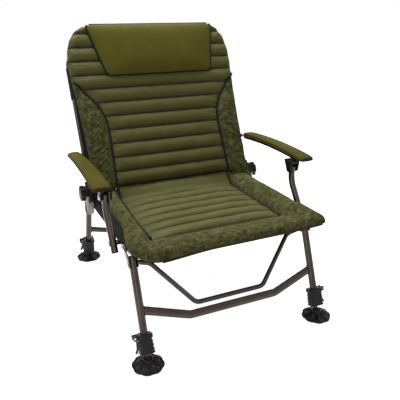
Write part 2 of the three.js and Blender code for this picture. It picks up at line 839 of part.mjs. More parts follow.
function buildReclineHinge() {
  const { y, z } = reclinePoint;
  const boreRadius = reclineBoltRadius + fitGap;
  const footRound = hingeBracketHalfWidth / 2;
  const footZ = z - hingeBracketBottom + footRound;
  const outline = wrapOutline([
    ...roundPoints(y, z, hingeBracketRadius),
    ...roundPoints(y - footRound, footZ, footRound),
    ...roundPoints(y + footRound, footZ, footRound),
  ]);
  sides.forEach((side) => {
    const name = sideNames[side];
    const casting = sidePlate(outline, hingeBracketInner, hingeBracketOuter);
    const pocketStart = hingeBracketInner - cutOverrun;
    const pocketEnd = hingeBlockOuter + fitGap;
    const pocket = crossPin(hingeBlockRadius + stopGap, pocketStart, pocketEnd, y, z, housingSides);
    const bore = crossPin(boreRadius, hingeBlockOuter, hingeBracketOuter + cutOverrun, y, z);
    addPart(chair, `hinge_bracket_${name}`, mirrorToSide(cut(casting, [pocket, bore]), side), zinc);

    const knobInner = hingeBracketOuter + fitGap;
    const knobOutline = Array.from({ length: 4 * knobLobes }, (unused, index) => {
      const angle = (2 * Math.PI * index) / (4 * knobLobes);
      const radius = knobRadius - knobBevel + knobLobe * Math.cos(knobLobes * angle);
      return new THREE.Vector2(radius * Math.cos(angle), radius * Math.sin(angle));
    });
    const knob = new THREE.ExtrudeGeometry(new THREE.Shape(knobOutline), {
      depth: knobWidth - 2 * knobBevel,
      bevelThickness: knobBevel,
      bevelSize: knobBevel,
      bevelSegments: 1,
    });
    knob.rotateY(Math.PI / 2).translate(knobInner + knobBevel, y, z);
    const socket = crossPin(boreRadius, knobInner - cutOverrun, knobInner + knobWidth / 2, y, z);
    addPart(chair, `recline_knob_${name}`, mirrorToSide(cut(knob, [socket]), side), blackPlastic);
  });
  const innerEnd = backHalfSpan - hingeBlockWidth / 2 - fitGap;
  const outerEnd = hingeBracketOuter + fitGap + knobWidth / 2 - fitGap;
  const bolt = turnedPin([
    [innerEnd - boltHeadHeight, 0],
    [innerEnd - boltHeadHeight, boltHeadRadius],
    [innerEnd, boltHeadRadius],
    [innerEnd, reclineBoltRadius],
    [outerEnd, reclineBoltRadius],
    [outerEnd, 0],
  ], y, z);
  addPair('recline_bolt', bolt);
}

// Legs: each set is built upright below its pivot and then leaned

function legSet(sign, inset) {
  const pivot = seatPoint(0, inset);
  const set = new THREE.Group();
  set.position.copy(pivot);
  set.rotation.x = sign * lean;
  chair.add(set);
  const axisY = sign * legOffset;
  const heightToLocal = (height) => {
    const below = height - pivot.z - legOffset * Math.sin(lean);
    return below / Math.cos(lean);
  };
  const tubeDrop = (legOffset + tubeCornerRadius) * Math.tan(lean);
  const top = -(tubeDrop + tubeCornerRadius / Math.cos(lean) + stopGap);
  const bottom = heightToLocal(legBottomHeight);
  const ball = heightToLocal(ballHeight);
  return { sign, set, pivot, axisY, top, bottom, ball };
}

function collarOutline() {
  const halfX = collarWidth / 2 - collarCornerRadius;
  const halfY = collarDepth / 2 - collarCornerRadius;
  return wrapOutline(sides.flatMap((sideX) =>
    sides.flatMap((sideY) =>
      roundPoints(sideX * halfX, sideY * halfY, collarCornerRadius, collarCornerSides))));
}

// The collar narrows upwards, holds the leg in its bore and carries the lever in two ears
function collarGeometry(leg) {
  const body = upright(new THREE.Shape(collarOutline()), 0, collarLength);
  const position = body.attributes.position;
  for (let index = 0; index < position.count; index += 1) {
    const scale = THREE.MathUtils.lerp(1, collarTopShare, position.getZ(index) / collarLength);
    position.setX(index, position.getX(index) * scale);
    position.setY(index, position.getY(index) * scale);
  }
  const ear = new THREE.BoxGeometry(earReach + collarWidth / 4, earWidth, earHeight);
  ear.translate(collarWidth / 2 + earReach / 2 - collarWidth / 8, 0, collarLength - earHeight / 2);
  const slot = new THREE.BoxGeometry(earReach, earSlot, earHeight + 2 * cutOverrun);
  slot.translate(collarWidth / 2 + earReach / 2, 0, collarLength - earHeight / 2);
  const pitch = collarLength / collarRibs;
  const groove = (index) => {
    const width = collarWidth * (1 - ribShare / 2);
    const box = new THREE.BoxGeometry(width, 2 * ribDepth, pitch * ribShare);
    return box.translate(0, (leg.sign * collarDepth) / 2, pitch * (index + 0.5));
  };
  const grooves = Array.from({ length: collarRibs }, (unused, index) => groove(index));
  const legRound = new THREE.Shape(ring(legRadius + fitGap, tubeSides));
  const bore = upright(legRound, -cutOverrun, collarLength + cutOverrun);
  const pinBore = crossPin(leverPinRadius + fitGap, -earWidth, earWidth, 0, 0);
  pinBore.rotateZ(Math.PI / 2).translate(leverPinX(), 0, leverPinZ());
  return cut(join([body, ear]), [bore, slot, ...grooves, pinBore]);
}

function leverPinX() {
  return collarWidth / 2 + earReach / 2 + leverPinRadius;
}

function leverPinZ() {
  return collarLength - earHeight / 2;
}

// The lever hangs down the outer side of the collar, with a hooked tip
function leverGeometry() {
  const pinX = leverPinX();
  const pinZ = leverPinZ();
  const width = earSlot - 2 * fitGap;
  const hub = crossPin(leverHubRadius, -width / 2, width / 2, 0, 0);
  hub.rotateZ(Math.PI / 2).translate(pinX, 0, pinZ);
  const pinReach = earWidth / 2;
  const pin = crossPin(leverPinRadius, -pinReach, pinReach, 0, 0);
  pin.rotateZ(Math.PI / 2).translate(pinX, 0, pinZ);
  const outer = pinX + leverHubRadius;
  const inner = outer - leverThickness;
  const outline = [
    new THREE.Vector2(inner, pinZ),
    new THREE.Vector2(inner, pinZ - leverLength + leverHook),
    new THREE.Vector2(inner + leverHook / 2, pinZ - leverLength),
    new THREE.Vector2(outer + leverHook, pinZ - leverLength - leverHook / 2),
    new THREE.Vector2(outer, pinZ - leverLength + leverHook),
    new THREE.Vector2(outer, pinZ),
  ];
  const plate = upright(new THREE.Shape(outline), 0, width);
  plate.rotateX(Math.PI / 2).translate(0, width / 2, 0);
  return join([hub, pin, plate]);
}

function innerLegGeometry(leg) {
  const outer = legRadius - tubeWall - slideGap;
  const bottom = leg.bottom - fitGap;
  const topEnd = leg.bottom + innerLegLength;
  const neckEnd = leg.ball + ballRadius + fitGap;
  const pipe = upright(pipeShape(outer, tubeWall), bottom + tubeWall, topEnd);
  const plug = upright(new THREE.Shape(ring(outer, tubeSides)), bottom, bottom + 2 * tubeWall);
  const neck = upright(new THREE.Shape(ring(neckRadius, boltSides)), neckEnd, bottom + tubeWall);
  return join([pipe, plug, neck]);
}

// A leg tube between the two plates that hang it on the seat tube
function legGeometry(leg) {
  const tube = upright(pipeShape(legRadius, tubeWall), leg.bottom, leg.top);
  tube.translate(seatHalfSpan, leg.axisY, 0);
  const outline = wrapOutline([
    ...roundPoints(0, 0, plateEyeRadius),
    new THREE.Vector2(leg.axisY - legRadius, leg.top - fitGap),
    new THREE.Vector2(leg.axisY - legRadius, -plateReach),
    new THREE.Vector2(leg.axisY + legRadius, -plateReach),
    new THREE.Vector2(leg.axisY + legRadius, leg.top - fitGap),
  ]);
  const inner = seatHalfSpan - tubeRadius - fitGap - plateThickness;
  const outer = seatHalfSpan + tubeRadius + fitGap;
  const plates = [inner, outer].map((start) => sidePlate(outline, start, start + plateThickness));
  const reach = tubeRadius + plateThickness + cutOverrun;
  const bore = crossPin(boltBoreRadius, seatHalfSpan - reach, seatHalfSpan + reach, 0, 0);
  return cut(join([tube, ...plates]), [bore]);
}

function ovalShape(width, height, wall) {
  const points = (inset) => ring(1, tubeSides).map((point) =>
    new THREE.Vector2(point.x * (width / 2 - inset), point.y * (height / 2 - inset)));
  const shape = new THREE.Shape(points(0));
  shape.holes.push(new THREE.Path(points(wall)));
  return shape;
}

function crossbarGeometry(leg) {
  const corners = [
    vec(-seatHalfSpan, leg.axisY, -crossbarEndDrop),
    vec(-crossbarHalfFlat, leg.axisY, -crossbarMiddleDrop),
    vec(crossbarHalfFlat, leg.axisY, -crossbarMiddleDrop),
    vec(seatHalfSpan, leg.axisY, -crossbarEndDrop),
  ];
  const path = bentPath(corners, crossbarBend, barBendSteps);
  const bar = sweep(ovalShape(crossbarHeight, crossbarDepth, tubeWall), path);
  const notches = sides.map((side) => {
    const reach = new THREE.Shape(ring(legCornerRadius + fitGap, tubeSides));
    return upright(reach, -crossbarMiddleDrop, 0).translate(side * seatHalfSpan, leg.axisY, 0);
  });
  const trims = sides.map((side) => {
    const box = new THREE.BoxGeometry(2 * tubeRadius, 4 * tubeRadius, 4 * crossbarHeight);
    return box.translate(side * (seatHalfSpan + tubeRadius), leg.axisY, -crossbarEndDrop);
  });
  return cut(bar, [...notches, ...trims]);
}

// The brace hangs between the front legs, a little behind them, and ends on their inner plates
function braceGeometry(leg) {
  const endX = seatHalfSpan - tubeRadius - 2 * fitGap - plateThickness;
  const kneeY = leg.axisY + braceKneeSetback;
  const barY = leg.axisY + braceBarSetback;
  const corners = [
    vec(-seatHalfSpan, leg.axisY, -braceTopDrop),
    vec(-braceKneeSpan, kneeY, -braceKneeDrop),
    vec(-braceHalfFlat, barY, -braceDrop),
    vec(braceHalfFlat, barY, -braceDrop),
    vec(braceKneeSpan, kneeY, -braceKneeDrop),
    vec(seatHalfSpan, leg.axisY, -braceTopDrop),
  ];
  const path = bentPath(corners, braceBend, barBendSteps);
  const tube = sweep(pipeShape(braceRadius, tubeWall, barSides), path);
  const trims = sides.map((side) => {
    const box = new THREE.BoxGeometry(2 * legOffset, 4 * legOffset, 4 * legOffset);
    return box.translate(side * (endX + legOffset), leg.axisY, -braceTopDrop);
  });
  return cut(tube, trims);
}

function pivotBolt(point) {
  const innerStart = seatHalfSpan - tubeRadius - 2 * fitGap - plateThickness;
  const outerFace = seatHalfSpan + tubeRadius + 2 * fitGap + plateThickness;
  return turnedPin([
    [innerStart - boltHeadHeight, 0],
    [innerStart - boltHeadHeight, boltHeadRadius],
    [innerStart, boltHeadRadius],
    [innerStart, boltRadius],
    [outerFace, boltRadius],
    [outerFace, boltHeadRadius],
    [outerFace + boltHeadHeight, boltHeadRadius / 2],
    [outerFace + boltHeadHeight, 0],
  ], point.y, point.z);
}

function footGeometry() {
  const rimAngle = Math.asin(socketRimShare);
  const socketRadius = ballRadius + 2 * fitGap;
  const rim = ballHeight + socketRadius * Math.sin(rimAngle);
  const profile = [
    [0, 0],
    [footRadius - footEdge / 2, 0],
    [footRadius, footEdge / 2],
    [footRadius - footEdge / 4, footEdge],
    [(footRadius + footHubRadius) / 2, (footEdge + footDome) / 2 + footBulge],
    [footHubRadius, footDome],
    [footHubRadius - footHubTaper, rim],
    [socketRadius * Math.cos(rimAngle), rim],
  ].map(([radius, height]) => new THREE.Vector2(radius, height));
  for (let step = 1; step <= socketSteps; step += 1) {
    const angle = rimAngle - ((rimAngle + Math.PI / 2) * step) / socketSteps;
    profile.push(new THREE.Vector2(
      Math.max(0, socketRadius * Math.cos(angle)),
      ballHeight + socketRadius * Math.sin(angle),
    ));
  }
  profile.at(-1).x = 0;
  const geometry = new THREE.LatheGeometry(profile, footSides).rotateX(Math.PI / 2);
  const position = geometry.attributes.position;
  for (let index = 0; index < position.count; index += 1) {
    const x = position.getX(index);
    const y = position.getY(index);
    const z = position.getZ(index);
    const radius = Math.hypot(x, y);
    const wave = (1 - Math.cos(footFolds * Math.atan2(y, x))) / 2;
    const outward = THREE.MathUtils.smoothstep(radius, footHubRadius, footRadius);
    const scale = 1 - (footScallop * wave * outward) / footRadius;
    const middle = radius > footHubRadius + fitGap && z > footEdge + fitGap ? wave : 0;
    position.setXYZ(index, x * scale, y * scale, z - footFoldDepth * middle);
  }
  return geometry;
}

function buildLegs(name, sign, inset) {
  const leg = legSet(sign, inset);
  const bar = crossbarGeometry(leg);
  addPart(leg.set, `${name}_leg_crossbar`, bar, frame);
  if (sign < 0) {
    addPart(leg.set, 'front_leg_brace', braceGeometry(leg), frame);
  }
  addPair(`${name}_pivot_bolt`, pivotBolt(leg.pivot));

  const ballY = leg.pivot.y + leg.axisY * Math.cos(lean) - leg.ball * Math.sin(sign * lean);
  sides.forEach((side) => {
    const tag = `${name}_${sideNames[side]}`;
    const place = (geometry) => {
      const own = mirrorToSide(geometry, side);
      return own.translate(side * seatHalfSpan, leg.axisY, 0);
    };
    addPart(leg.set, `leg_${tag}`, mirrorToSide(legGeometry(leg), side), frame);
    const collar = collarGeometry(leg).translate(0, 0, leg.bottom);
    addPart(leg.set, `leg_collar_${tag}`, place(collar), blackPlastic);
    const lever = leverGeometry().translate(0, 0, leg.bottom);
    addPart(leg.set, `clamp_lever_${tag}`, place(lever), blackPlastic);
    addPart(leg.set, `inner_leg_${tag}`, place(innerLegGeometry(leg)), steel);
    const ball = new THREE.SphereGeometry(ballRadius, ballSides, ballRows);
    ball.translate(side * seatHalfSpan, ballY, ballHeight);
    addPart(chair, `foot_ball_${tag}`, ball, blackPlastic);
    const foot = footGeometry().translate(side * seatHalfSpan, ballY, 0);
    addPart(chair, `mud_foot_${tag}`, foot, blackPlastic);
  });
}

// Arms

function armPadWidthAt(share) {
  return THREE.MathUtils.lerp(armPadFrontWidth, armPadRearWidth, share);
}

// Height of the pad's underside above the post's top pivot
function armFloorAt(share) {
  const across = 2 * share - 1;
  return armPadFloor + armArch * (1 - across * across);
}

function armPadGeometry() {
  const places = [];
  armPadStationShares.forEach((share) => {
    const roundEnd = Math.min(share, 1 - share) / armPadRoundEndShare;
    const fullness = Math.sqrt(1 - (1 - Math.min(roundEnd, 1)) ** 2);
    const widthShare = THREE.MathUtils.lerp(armPadEndWidthShare, 1, fullness);
    const halfWidth = (armPadWidthAt(share) / 2) * widthShare;
    const halfHeight = (armPadHeight / 2) * THREE.MathUtils.lerp(armPadEndHeightShare, 1, fullness);
    const y = armPadLength * share - armPadFront;
    const middle = armFloorAt(share) + armPadHeight / 2;
    ring(1, armPadSides).forEach((corner) => {
      const angle = corner.angle();
      const x = Math.sign(corner.x) * Math.abs(Math.cos(angle)) ** armPadSideFullnessShare;
      const z = Math.sign(corner.y) * Math.abs(Math.sin(angle)) ** armPadTopFullnessShare;
      const lift = z > 0 ? z : Math.max(z, -armPadFlatShare) / armPadFlatShare;
      places.push(x * halfWidth, y, middle + lift * halfHeight);
    });
  });
  return loft(places, armPadSides);
}

// The rail runs under the pad and ends in the eye of the rear pivot
function armRailGeometry(rearY, rearZ) {
  const start = (armPadFront - armRailFront) / armPadLength;
  const top = [];
  for (let step = 0; step <= armRailSteps; step += 1) {
    const share = THREE.MathUtils.lerp(start, 1, step / armRailSteps);
    const place = armPadLength * share - armPadFront;
    top.push(new THREE.Vector2(place, armFloorAt(share) - fitGap));
  }
  top.push(new THREE.Vector2(rearY, armFloorAt(1) - fitGap));
  const low = top.map((point) => new THREE.Vector2(point.x, point.y - armRailThickness)).reverse();
  const from = armRailCentre - armRailWidth / 2;
  const to = armRailCentre + armRailWidth / 2;
  const strip = sidePlate([...top, ...low], from, to);
  const tail = armPadRear + fitGap;
  const endBlock = sidePlate(wrapOutline([
    ...roundPoints(rearY, rearZ, armEyeRadius),
    new THREE.Vector2(tail, armFloorAt(1) + armPadHeight * armRailTailShare),
    new THREE.Vector2(tail, armFloorAt(1) - armRailThickness),
  ]), from, to);
  const bore = crossPin(boltBoreRadius, from - cutOverrun, to + cutOverrun, rearY, rearZ);
  return cut(join([strip, endBlock]), [bore]);
}

// A clevis round the post's top, with its pin
function armBracketGeometry() {
  const roofShare = (armPadFront - bracketFront) / armPadLength;
  const roof = armFloorAt(roofShare) - armRailThickness - 2 * fitGap;
  const from = postHalfSpan - bracketWidth / 2;
  const to = postHalfSpan + bracketWidth / 2;
  const block = sidePlate(wrapOutline([
    ...roundPoints(0, 0, bracketEyeRadius),
    new THREE.Vector2(-bracketFront, roof),
    new THREE.Vector2(bracketRear, roof),
    new THREE.Vector2(-bracketFront, roof - bracketNose),
  ]), from, to);
  const slotHalf = tubeCornerRadius + fitGap;
  const slotFloor = 2 * bracketEyeRadius;
  const slotRoof = Math.hypot(postTopReach, tubeCornerRadius) + slideGap;
  const slotLength = 2 * (bracketFront + bracketRear);
  const slot = new THREE.BoxGeometry(2 * slotHalf, slotLength, slotFloor + slotRoof);
  slot.translate(postHalfSpan, 0, (slotRoof - slotFloor) / 2);
  const pin = turnedPin([
    [from - fitGap, 0],
    [from - fitGap, boltRadius],
    [to, boltRadius],
    [to, boltHeadRadius],
    [to + boltHeadHeight / 2, boltHeadRadius / 2],
    [to + boltHeadHeight / 2, 0],
  ], 0, 0);
  return join([cut(block, [slot]), pin]);
}

function buildArms() {
  const foot = seatPoint(0, postPivotInset);
  const topPivot = vec(0, foot.y + armLinkBack, foot.z + armLinkRise);
  const rearPivot = vec(0, reclinePoint.y + armLinkBack, reclinePoint.z + armLinkRise);
  const knee = vec(0, foot.y + postKneeBack, foot.z + postKneeRise);
  const tail = foot.clone().addScaledVector(knee.clone().sub(foot).normalize(), -postTailLength);
  const head = topPivot.clone().addScaledVector(topPivot.clone().sub(knee).normalize(), postTopReach);

  sides.forEach((side) => {
    const name = sideNames[side];
    const middle = bentPath([tail, knee, head], postKneeBend, barBendSteps);
    const stations = middle.map((place) => place.clone().setX(postHalfSpan));
    const tube = sweep(pipeShape(tubeRadius, tubeWall), stations);
    const reach = tubeRadius + cutOverrun;
    const bores = [foot, topPivot].map((point) =>
      crossPin(boltBoreRadius, postHalfSpan - reach, postHalfSpan + reach, point.y, point.z));
    addPart(chair, `arm_post_${name}`, mirrorToSide(cut(tube, bores), side), frame);

    const shift = (geometry) => mirrorToSide(geometry.translate(0, topPivot.y, topPivot.z), side);
    addPart(chair, `arm_bracket_${name}`, shift(armBracketGeometry()), blackPlastic);
    const rail = armRailGeometry(rearPivot.y - topPivot.y, rearPivot.z - topPivot.z);
    addPart(chair, `arm_rail_${name}`, shift(rail), blackPlastic);
    const pad = armPadGeometry().translate(armPadCentre, 0, 0);
    addPart(chair, `arm_pad_${name}`, shift(pad), pillowCloth);
  });

  const innerStart = seatHalfSpan - tubeRadius - fitGap;
  const spacerStart = seatHalfSpan + tubeRadius + fitGap;
  const spacerEnd = postHalfSpan - tubeRadius - fitGap;
  const headStart = postHalfSpan + tubeRadius + fitGap;
  const postBolt = turnedPin([
    [innerStart - boltHeadHeight, 0],
    [innerStart - boltHeadHeight, boltHeadRadius],
    [innerStart, boltHeadRadius],
    [innerStart, boltRadius],
    [spacerStart, boltRadius],
    [spacerStart, postSpacerRadius],
    [spacerEnd, postSpacerRadius],
    [spacerEnd, boltRadius],
    [headStart, boltRadius],
    [headStart, boltHeadRadius],
    [headStart + boltHeadHeight, boltHeadRadius / 2],
    [headStart + boltHeadHeight, 0],
  ], foot.y, foot.z);
  addPair('post_bolt', postBolt);

  const studStart = backHalfSpan + tubeCornerRadius + fitGap;
  const railInner = armRailCentre - armRailWidth / 2;
  const railOuter = armRailCentre + armRailWidth / 2;
  const stud = turnedPin([
    [studStart, 0],
    [studStart, armStudCollarRadius],
    [railInner - fitGap, armStudCollarRadius],
    [railInner - fitGap, boltRadius],
    [railOuter + fitGap, boltRadius],
    [railOuter + fitGap, boltHeadRadius],
    [railOuter + fitGap + boltHeadHeight, boltHeadRadius / 2],
    [railOuter + fitGap + boltHeadHeight, 0],
  ], rearPivot.y, rearPivot.z);
  addPair('arm_stud', stud);
}

buildSeatFrame();
buildSeatSling();
buildSeatMattress();
buildBackFrame();
buildBackSling();
buildBackMattress();
buildHeadPillow();
buildReclineHinge();
buildLegs('front', -1, frontPivotInset);
buildLegs('rear', 1, seatLength - rearPivotInset);
buildArms();

// The origin is the middle of the footprint, on the ground
const extent = new THREE.Box3().setFromObject(chair, true);
chair.position.y = -(extent.min.y + extent.max.y) / 2;

export default chair;
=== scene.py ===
"""Carp fishing chair: its looks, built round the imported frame."""
import json
import math

import bmesh
import bpy
import numpy as np
from mathutils import Matrix, Vector


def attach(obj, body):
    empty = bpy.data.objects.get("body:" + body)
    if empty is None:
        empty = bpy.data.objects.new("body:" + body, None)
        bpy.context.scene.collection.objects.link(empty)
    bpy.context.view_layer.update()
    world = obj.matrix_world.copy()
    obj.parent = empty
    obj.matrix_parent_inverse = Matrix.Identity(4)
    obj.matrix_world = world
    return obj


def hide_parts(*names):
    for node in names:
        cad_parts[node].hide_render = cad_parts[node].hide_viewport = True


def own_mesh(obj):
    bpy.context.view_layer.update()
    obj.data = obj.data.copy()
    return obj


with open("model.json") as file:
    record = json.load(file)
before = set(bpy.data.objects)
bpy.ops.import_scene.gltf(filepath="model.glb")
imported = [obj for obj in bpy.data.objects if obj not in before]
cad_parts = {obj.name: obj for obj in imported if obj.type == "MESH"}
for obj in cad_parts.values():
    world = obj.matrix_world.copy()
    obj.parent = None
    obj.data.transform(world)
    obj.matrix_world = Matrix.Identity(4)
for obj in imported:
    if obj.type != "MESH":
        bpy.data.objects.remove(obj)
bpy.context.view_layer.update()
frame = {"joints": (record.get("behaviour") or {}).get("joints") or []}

# Sizes are in millimetres down to the studio's, and meshes are made in metres
MM = 0.001
SIDES = (("left", -1), ("right", 1))

# Tubes
TUBE = 11
TUBE_WALL = 1.5
LEG = 11.5
BRACE = 7.5
REAR_BAR = 9
BAR_HEIGHT = 25
BAR_DEPTH = 14
PLUG = 2.5

# Seat frame, measured from the middle of its front tube
SEAT_HALF = 297
SEAT_HEIGHT = 322
SEAT_LENGTH = 574
SEAT_FALL = 1.3
SEAT_CORNER = 52
REAR_BAR_INSET = 14
BAR_ROOM = 2
FRONT_PIVOT = 80
REAR_PIVOT = 36
POST_PIVOT = 118
RECLINE_INSET = 464

# Legs
LEG_LEAN = 21
LEG_OFFSET = 28
LEG_BOTTOM_HEIGHT = 40
BALL_HEIGHT = 24
BALL = 9
BALL_STEPS = 14
NECK = 5
PLATE = 2.5
PLATE_EYE = 10
PLATE_REACH = 62
PLATE_CORNER = 5
RIVET = (0.2, 5, 2.6)
RIVET_INSET = 9
COLLAR_LENGTH = 58
COLLAR_WIDTH = 45
COLLAR_DEPTH = 40
COLLAR_CORNER = 9
COLLAR_RIBS = 5
COLLAR_GROOVE = 1.6
COLLAR_CHAMFER = 1.8
COLLAR_TAPER = 0.16
COLLAR_PAD = 7.5
COLLAR_SCREW = (0.5, 3.6, 2.2, 2)
COLLAR_SCREW_SINK = 2.5
COLLAR_SCREW_SHARES = (0.18, 0.42)
COLLAR_LEVELS = 56
COLLAR_BAND = 1.6
EAR_REACH = 13
EAR_HEIGHT = 14
EAR_WIDTH = 24
EAR_SLOT = 13
LEVER_LENGTH = 46
LEVER_THICK = 4
LEVER_GAP = 1
LEVER_HOOK = 6
LEVER_HUB = 5
LEVER_PIN = 2.2
LEVER_LEAN = 2.2
LEVER_BEND = 6
LEVER_CORNER = 1.3
LEVER_RIB = (1.2, 2.2, 0.5)
LEVER_RIBS = 4
LEVER_RIB_DROP = 18
LEVER_RIB_PITCH = 5
INNER_LEG_LENGTH = 175
INNER_LEG_ROOM = 0.4
INNER_SHOULDER = ((0, -5), (1.5, -3.5))
LEG_TOP_ROOM = 2
PLATE_ROUND = 0.7

# Crossbars and brace, down the legs from their pivot
BAR_END_DROP = 186
BAR_MIDDLE_DROP = 235
BAR_HALF_FLAT = 148
BAR_BEND = 40
BRACE_DROP = 208
BRACE_HALF_FLAT = 117
BRACE_SETBACK = 16
BRACE_KNEE_SPAN = 240
BRACE_KNEE_SETBACK = 24
BRACE_KNEE_DROP = 62
BRACE_TOP_DROP = 44
BRACE_BEND = 30
WELD = 2.2
WELD_SINK = 0.6

# Feet
FOOT = 48
FOOT_EDGE = 7
FOOT_DOME = 17
FOOT_HUB = 15
FOOT_FOLDS = 8
FOOT_RIB = 5
FOOT_SINK = 1.6
FOOT_PROFILE = [
    (0.06, 1.2), (0.3, 1.2), (0.33, 0.2), (0.52, 0.2), (0.55, 1.4), (0.7, 1.4), (0.73, 0.0),
    (0.93, 0.0), (0.985, 1.0), (1, FOOT_EDGE / 2), (0.992, FOOT_EDGE * 0.85),
    (0.965, FOOT_EDGE), (0.92, FOOT_EDGE * 0.98), (0.88, FOOT_EDGE * 0.8),
    (0.8, 8.6), (0.7, 10.2), (0.58, 12.2), (0.46, 14.4), (0.38, 16), (0.335, FOOT_DOME),
    (0.315, FOOT_DOME + 3.5), (0.3, FOOT_DOME + 8), (0.28, FOOT_DOME + 9.6),
    (0.235, FOOT_DOME + 10), (0.21, FOOT_DOME + 9), (0.205, FOOT_DOME + 6), (0.1, FOOT_DOME + 2),
]
FOOT_SPOKE = [
    (FOOT_HUB * 0.9, 0, FOOT_DOME + 3), (FOOT_HUB * 1.5, 0, FOOT_DOME),
    (FOOT * 0.62, 0, 13.4), (FOOT * 0.86, 0, FOOT_EDGE + 1.6),
]
FOOT_SPOKE_HALVES = (1.7, 2)

# Bolts
BOLT = 4
BOLT_HEAD = 7.5
BOLT_HEAD_HEIGHT = 4.5
NUT_ROUND = 0.6
EDGE = 1

# Arms
POST_HALF = 330
ARM_LINK_BACK = 56
ARM_LINK_RISE = 127
POST_TAIL = 28
POST_TOP = 9
POST_KNEE_BACK = 60
POST_KNEE_RISE = 88
POST_BEND = 80
POST_SPACER = 8
PAD_CENTRE = 350
PAD_FRONT_WIDTH = 56
PAD_REAR_WIDTH = 44
PAD_HEIGHT = 19
PAD_FRONT = 55
PAD_REAR = 344
ARM_ARCH = 10
ARM_FLOOR = 33.5
RAIL_CENTRE = 345
RAIL_WIDTH = 26
RAIL_THICK = 7
RAIL_ROUND = 1.8
RAIL_EYE = 9
STUD_COLLAR = 7
BRACKET_WIDTH = 35
BRACKET_EYE = 12
BRACKET_FRONT = 16
BRACKET_REAR = 27
BRACKET_NOSE = 6.5
BRACKET_PIN = (8.2, 4.2)
BRACKET_ROUND = 1.2
BRACKET_ROOM = 1.5
PAD_SEAM = 1.1
PAD_DISH = 1.2
PAD_LEVELS = 72
RAIL_STEPS = 24

# Back frame and recline hinge, from the recline pivot
RECLINE_HEIGHT = 360
BACK_LEAN = 26
BACK_HALF = 309
BACK_FOOT = 22
BACK_SHOULDER = 470
BACK_TOP = 572
BACK_TOP_HALF = 225
BACK_BEND = 45
HOUSING = 30
HOUSING_WIDTH = 28
CASTING_THICK = 10.4
CASTING_RADIUS = 24
CASTING_HALF = 21
CASTING_BOTTOM = 78
RECLINE_BOLT = 5
KNOB = 29
KNOB_LOBES = 8
KNOB_LOBE = 2.2
KNOB_WIDTH = 16
KNOB_PROFILE = [
    (0.52, 0), (0.9, 0), (0.985, 0.08), (1, 0.2), (1, 0.66), (0.975, 0.84), (0.9, 0.95), (0.78, 1),
    (0.66, 1), (0.62, 0.94), (0.6, 0.86), (0.57, 0.86), (0.55, 0.93), (0.5, 0.98), (0.2, 1.02),
]
CHAMFER = 2
CASTING_ROUND = 2.2
CASTING_CAP = 0.8
CASTING_SCREW = (1, 5.5, 3)
CASTING_SCREW_DROP = 8
CASTING_RIB_DROP = 6
CASTING_RIB_TOP = 4
CASTING_RIB_FOOT = 3
CASTING_RIB_SINK = 0.6
NECK_BLOCK = (14, 14.6, 5)
NECK_BLOCK_REACH = 8

# Slings
SLING_THICK = 2
SLING_SAG = 14
SEAT_SLING_END = 534
BACK_SLING_START = 36
BACK_HOOD_START = 335
BACK_SLING_END = 448
HOOD_WRAP = 215
BACK_WRAP = 112
APRON_WRAP = (245, 82)
SLING_LEAVE = 72
SLING_STEP = 8
APRON_DROP = 4
HEM = 12

# Clearances, and how fine the surfaces are
FIT = 0.3
CLOTH_GAP = 0.8
ROUND = 32
BEND_STEP = 5.0
CUT = 1.2
CLOTH_STEP = 3.0

# What follows from the sizes of the frame and the arms
SLING_RADIUS = TUBE + 2 * FIT + SLING_THICK / 2
SLING_TOP = TUBE + FIT + SLING_THICK + CLOTH_GAP
BRACE_REACH = SEAT_HALF - TUBE - 2 * FIT - PLATE
CASTING_INNER = SEAT_HALF + TUBE + FIT
PLATE_INNER = BACK_HALF + HOUSING_WIDTH / 2 + FIT
CASTING_OUTER = PLATE_INNER + CASTING_THICK
KNOB_INNER = CASTING_OUTER + FIT
PAD_LENGTH = PAD_FRONT + PAD_REAR
ROOF_SHARE = (PAD_FRONT - BRACKET_FRONT) / PAD_LENGTH

# Seat mattress
SEAT_PAD_HALF = 308
SEAT_PAD_FRONT = 38
SEAT_PAD_END = 446
SEAT_PAD_TUCK = 26
SEAT_PANEL_HALVES = (233, 216)
SEAT_PANEL_TAPERS = (12, 0)
SEAT_PANEL_FRONT = 64
SEAT_PAD_CORNERS = (76, 22)
SEAT_FLARE = 24
SEAT_FLARE_START = 110
SEAT_SEAM = 8
SEAT_SIDE_BOLSTER = 35
SEAT_FRONT_BOLSTER = 14
SEAT_CHANNEL = 15
SEAT_CHANNELS = 6
SEAT_PITCH = 53
SEAT_LIP = 51
SEAT_LIP_LENGTH = 46
SEAT_CROWN = 3
SEAT_SIDE_CREST = 0.5
SEAT_FRONT_CREST = 0.82
SEAT_LOW_FRONT = 0
SEAT_CORNER_DROP = 11
SEAT_LOW_SIDE = 8
SEAT_REAR_CORNER = 26
SEAT_REAR_ROUND = (8, 34)
SEAT_REAR_STAND = 3
SEAT_PANEL_SHARE = 0.73
SEAT_TAPER_START = 180
SEAT_TUCK_SPAN = (40, 200)
SEAT_DROP_SPAN = (60, 260)
SEAT_SAG_SPAN = (64, 128)
SEAT_PIPING_STANDS = (7, -1.5)

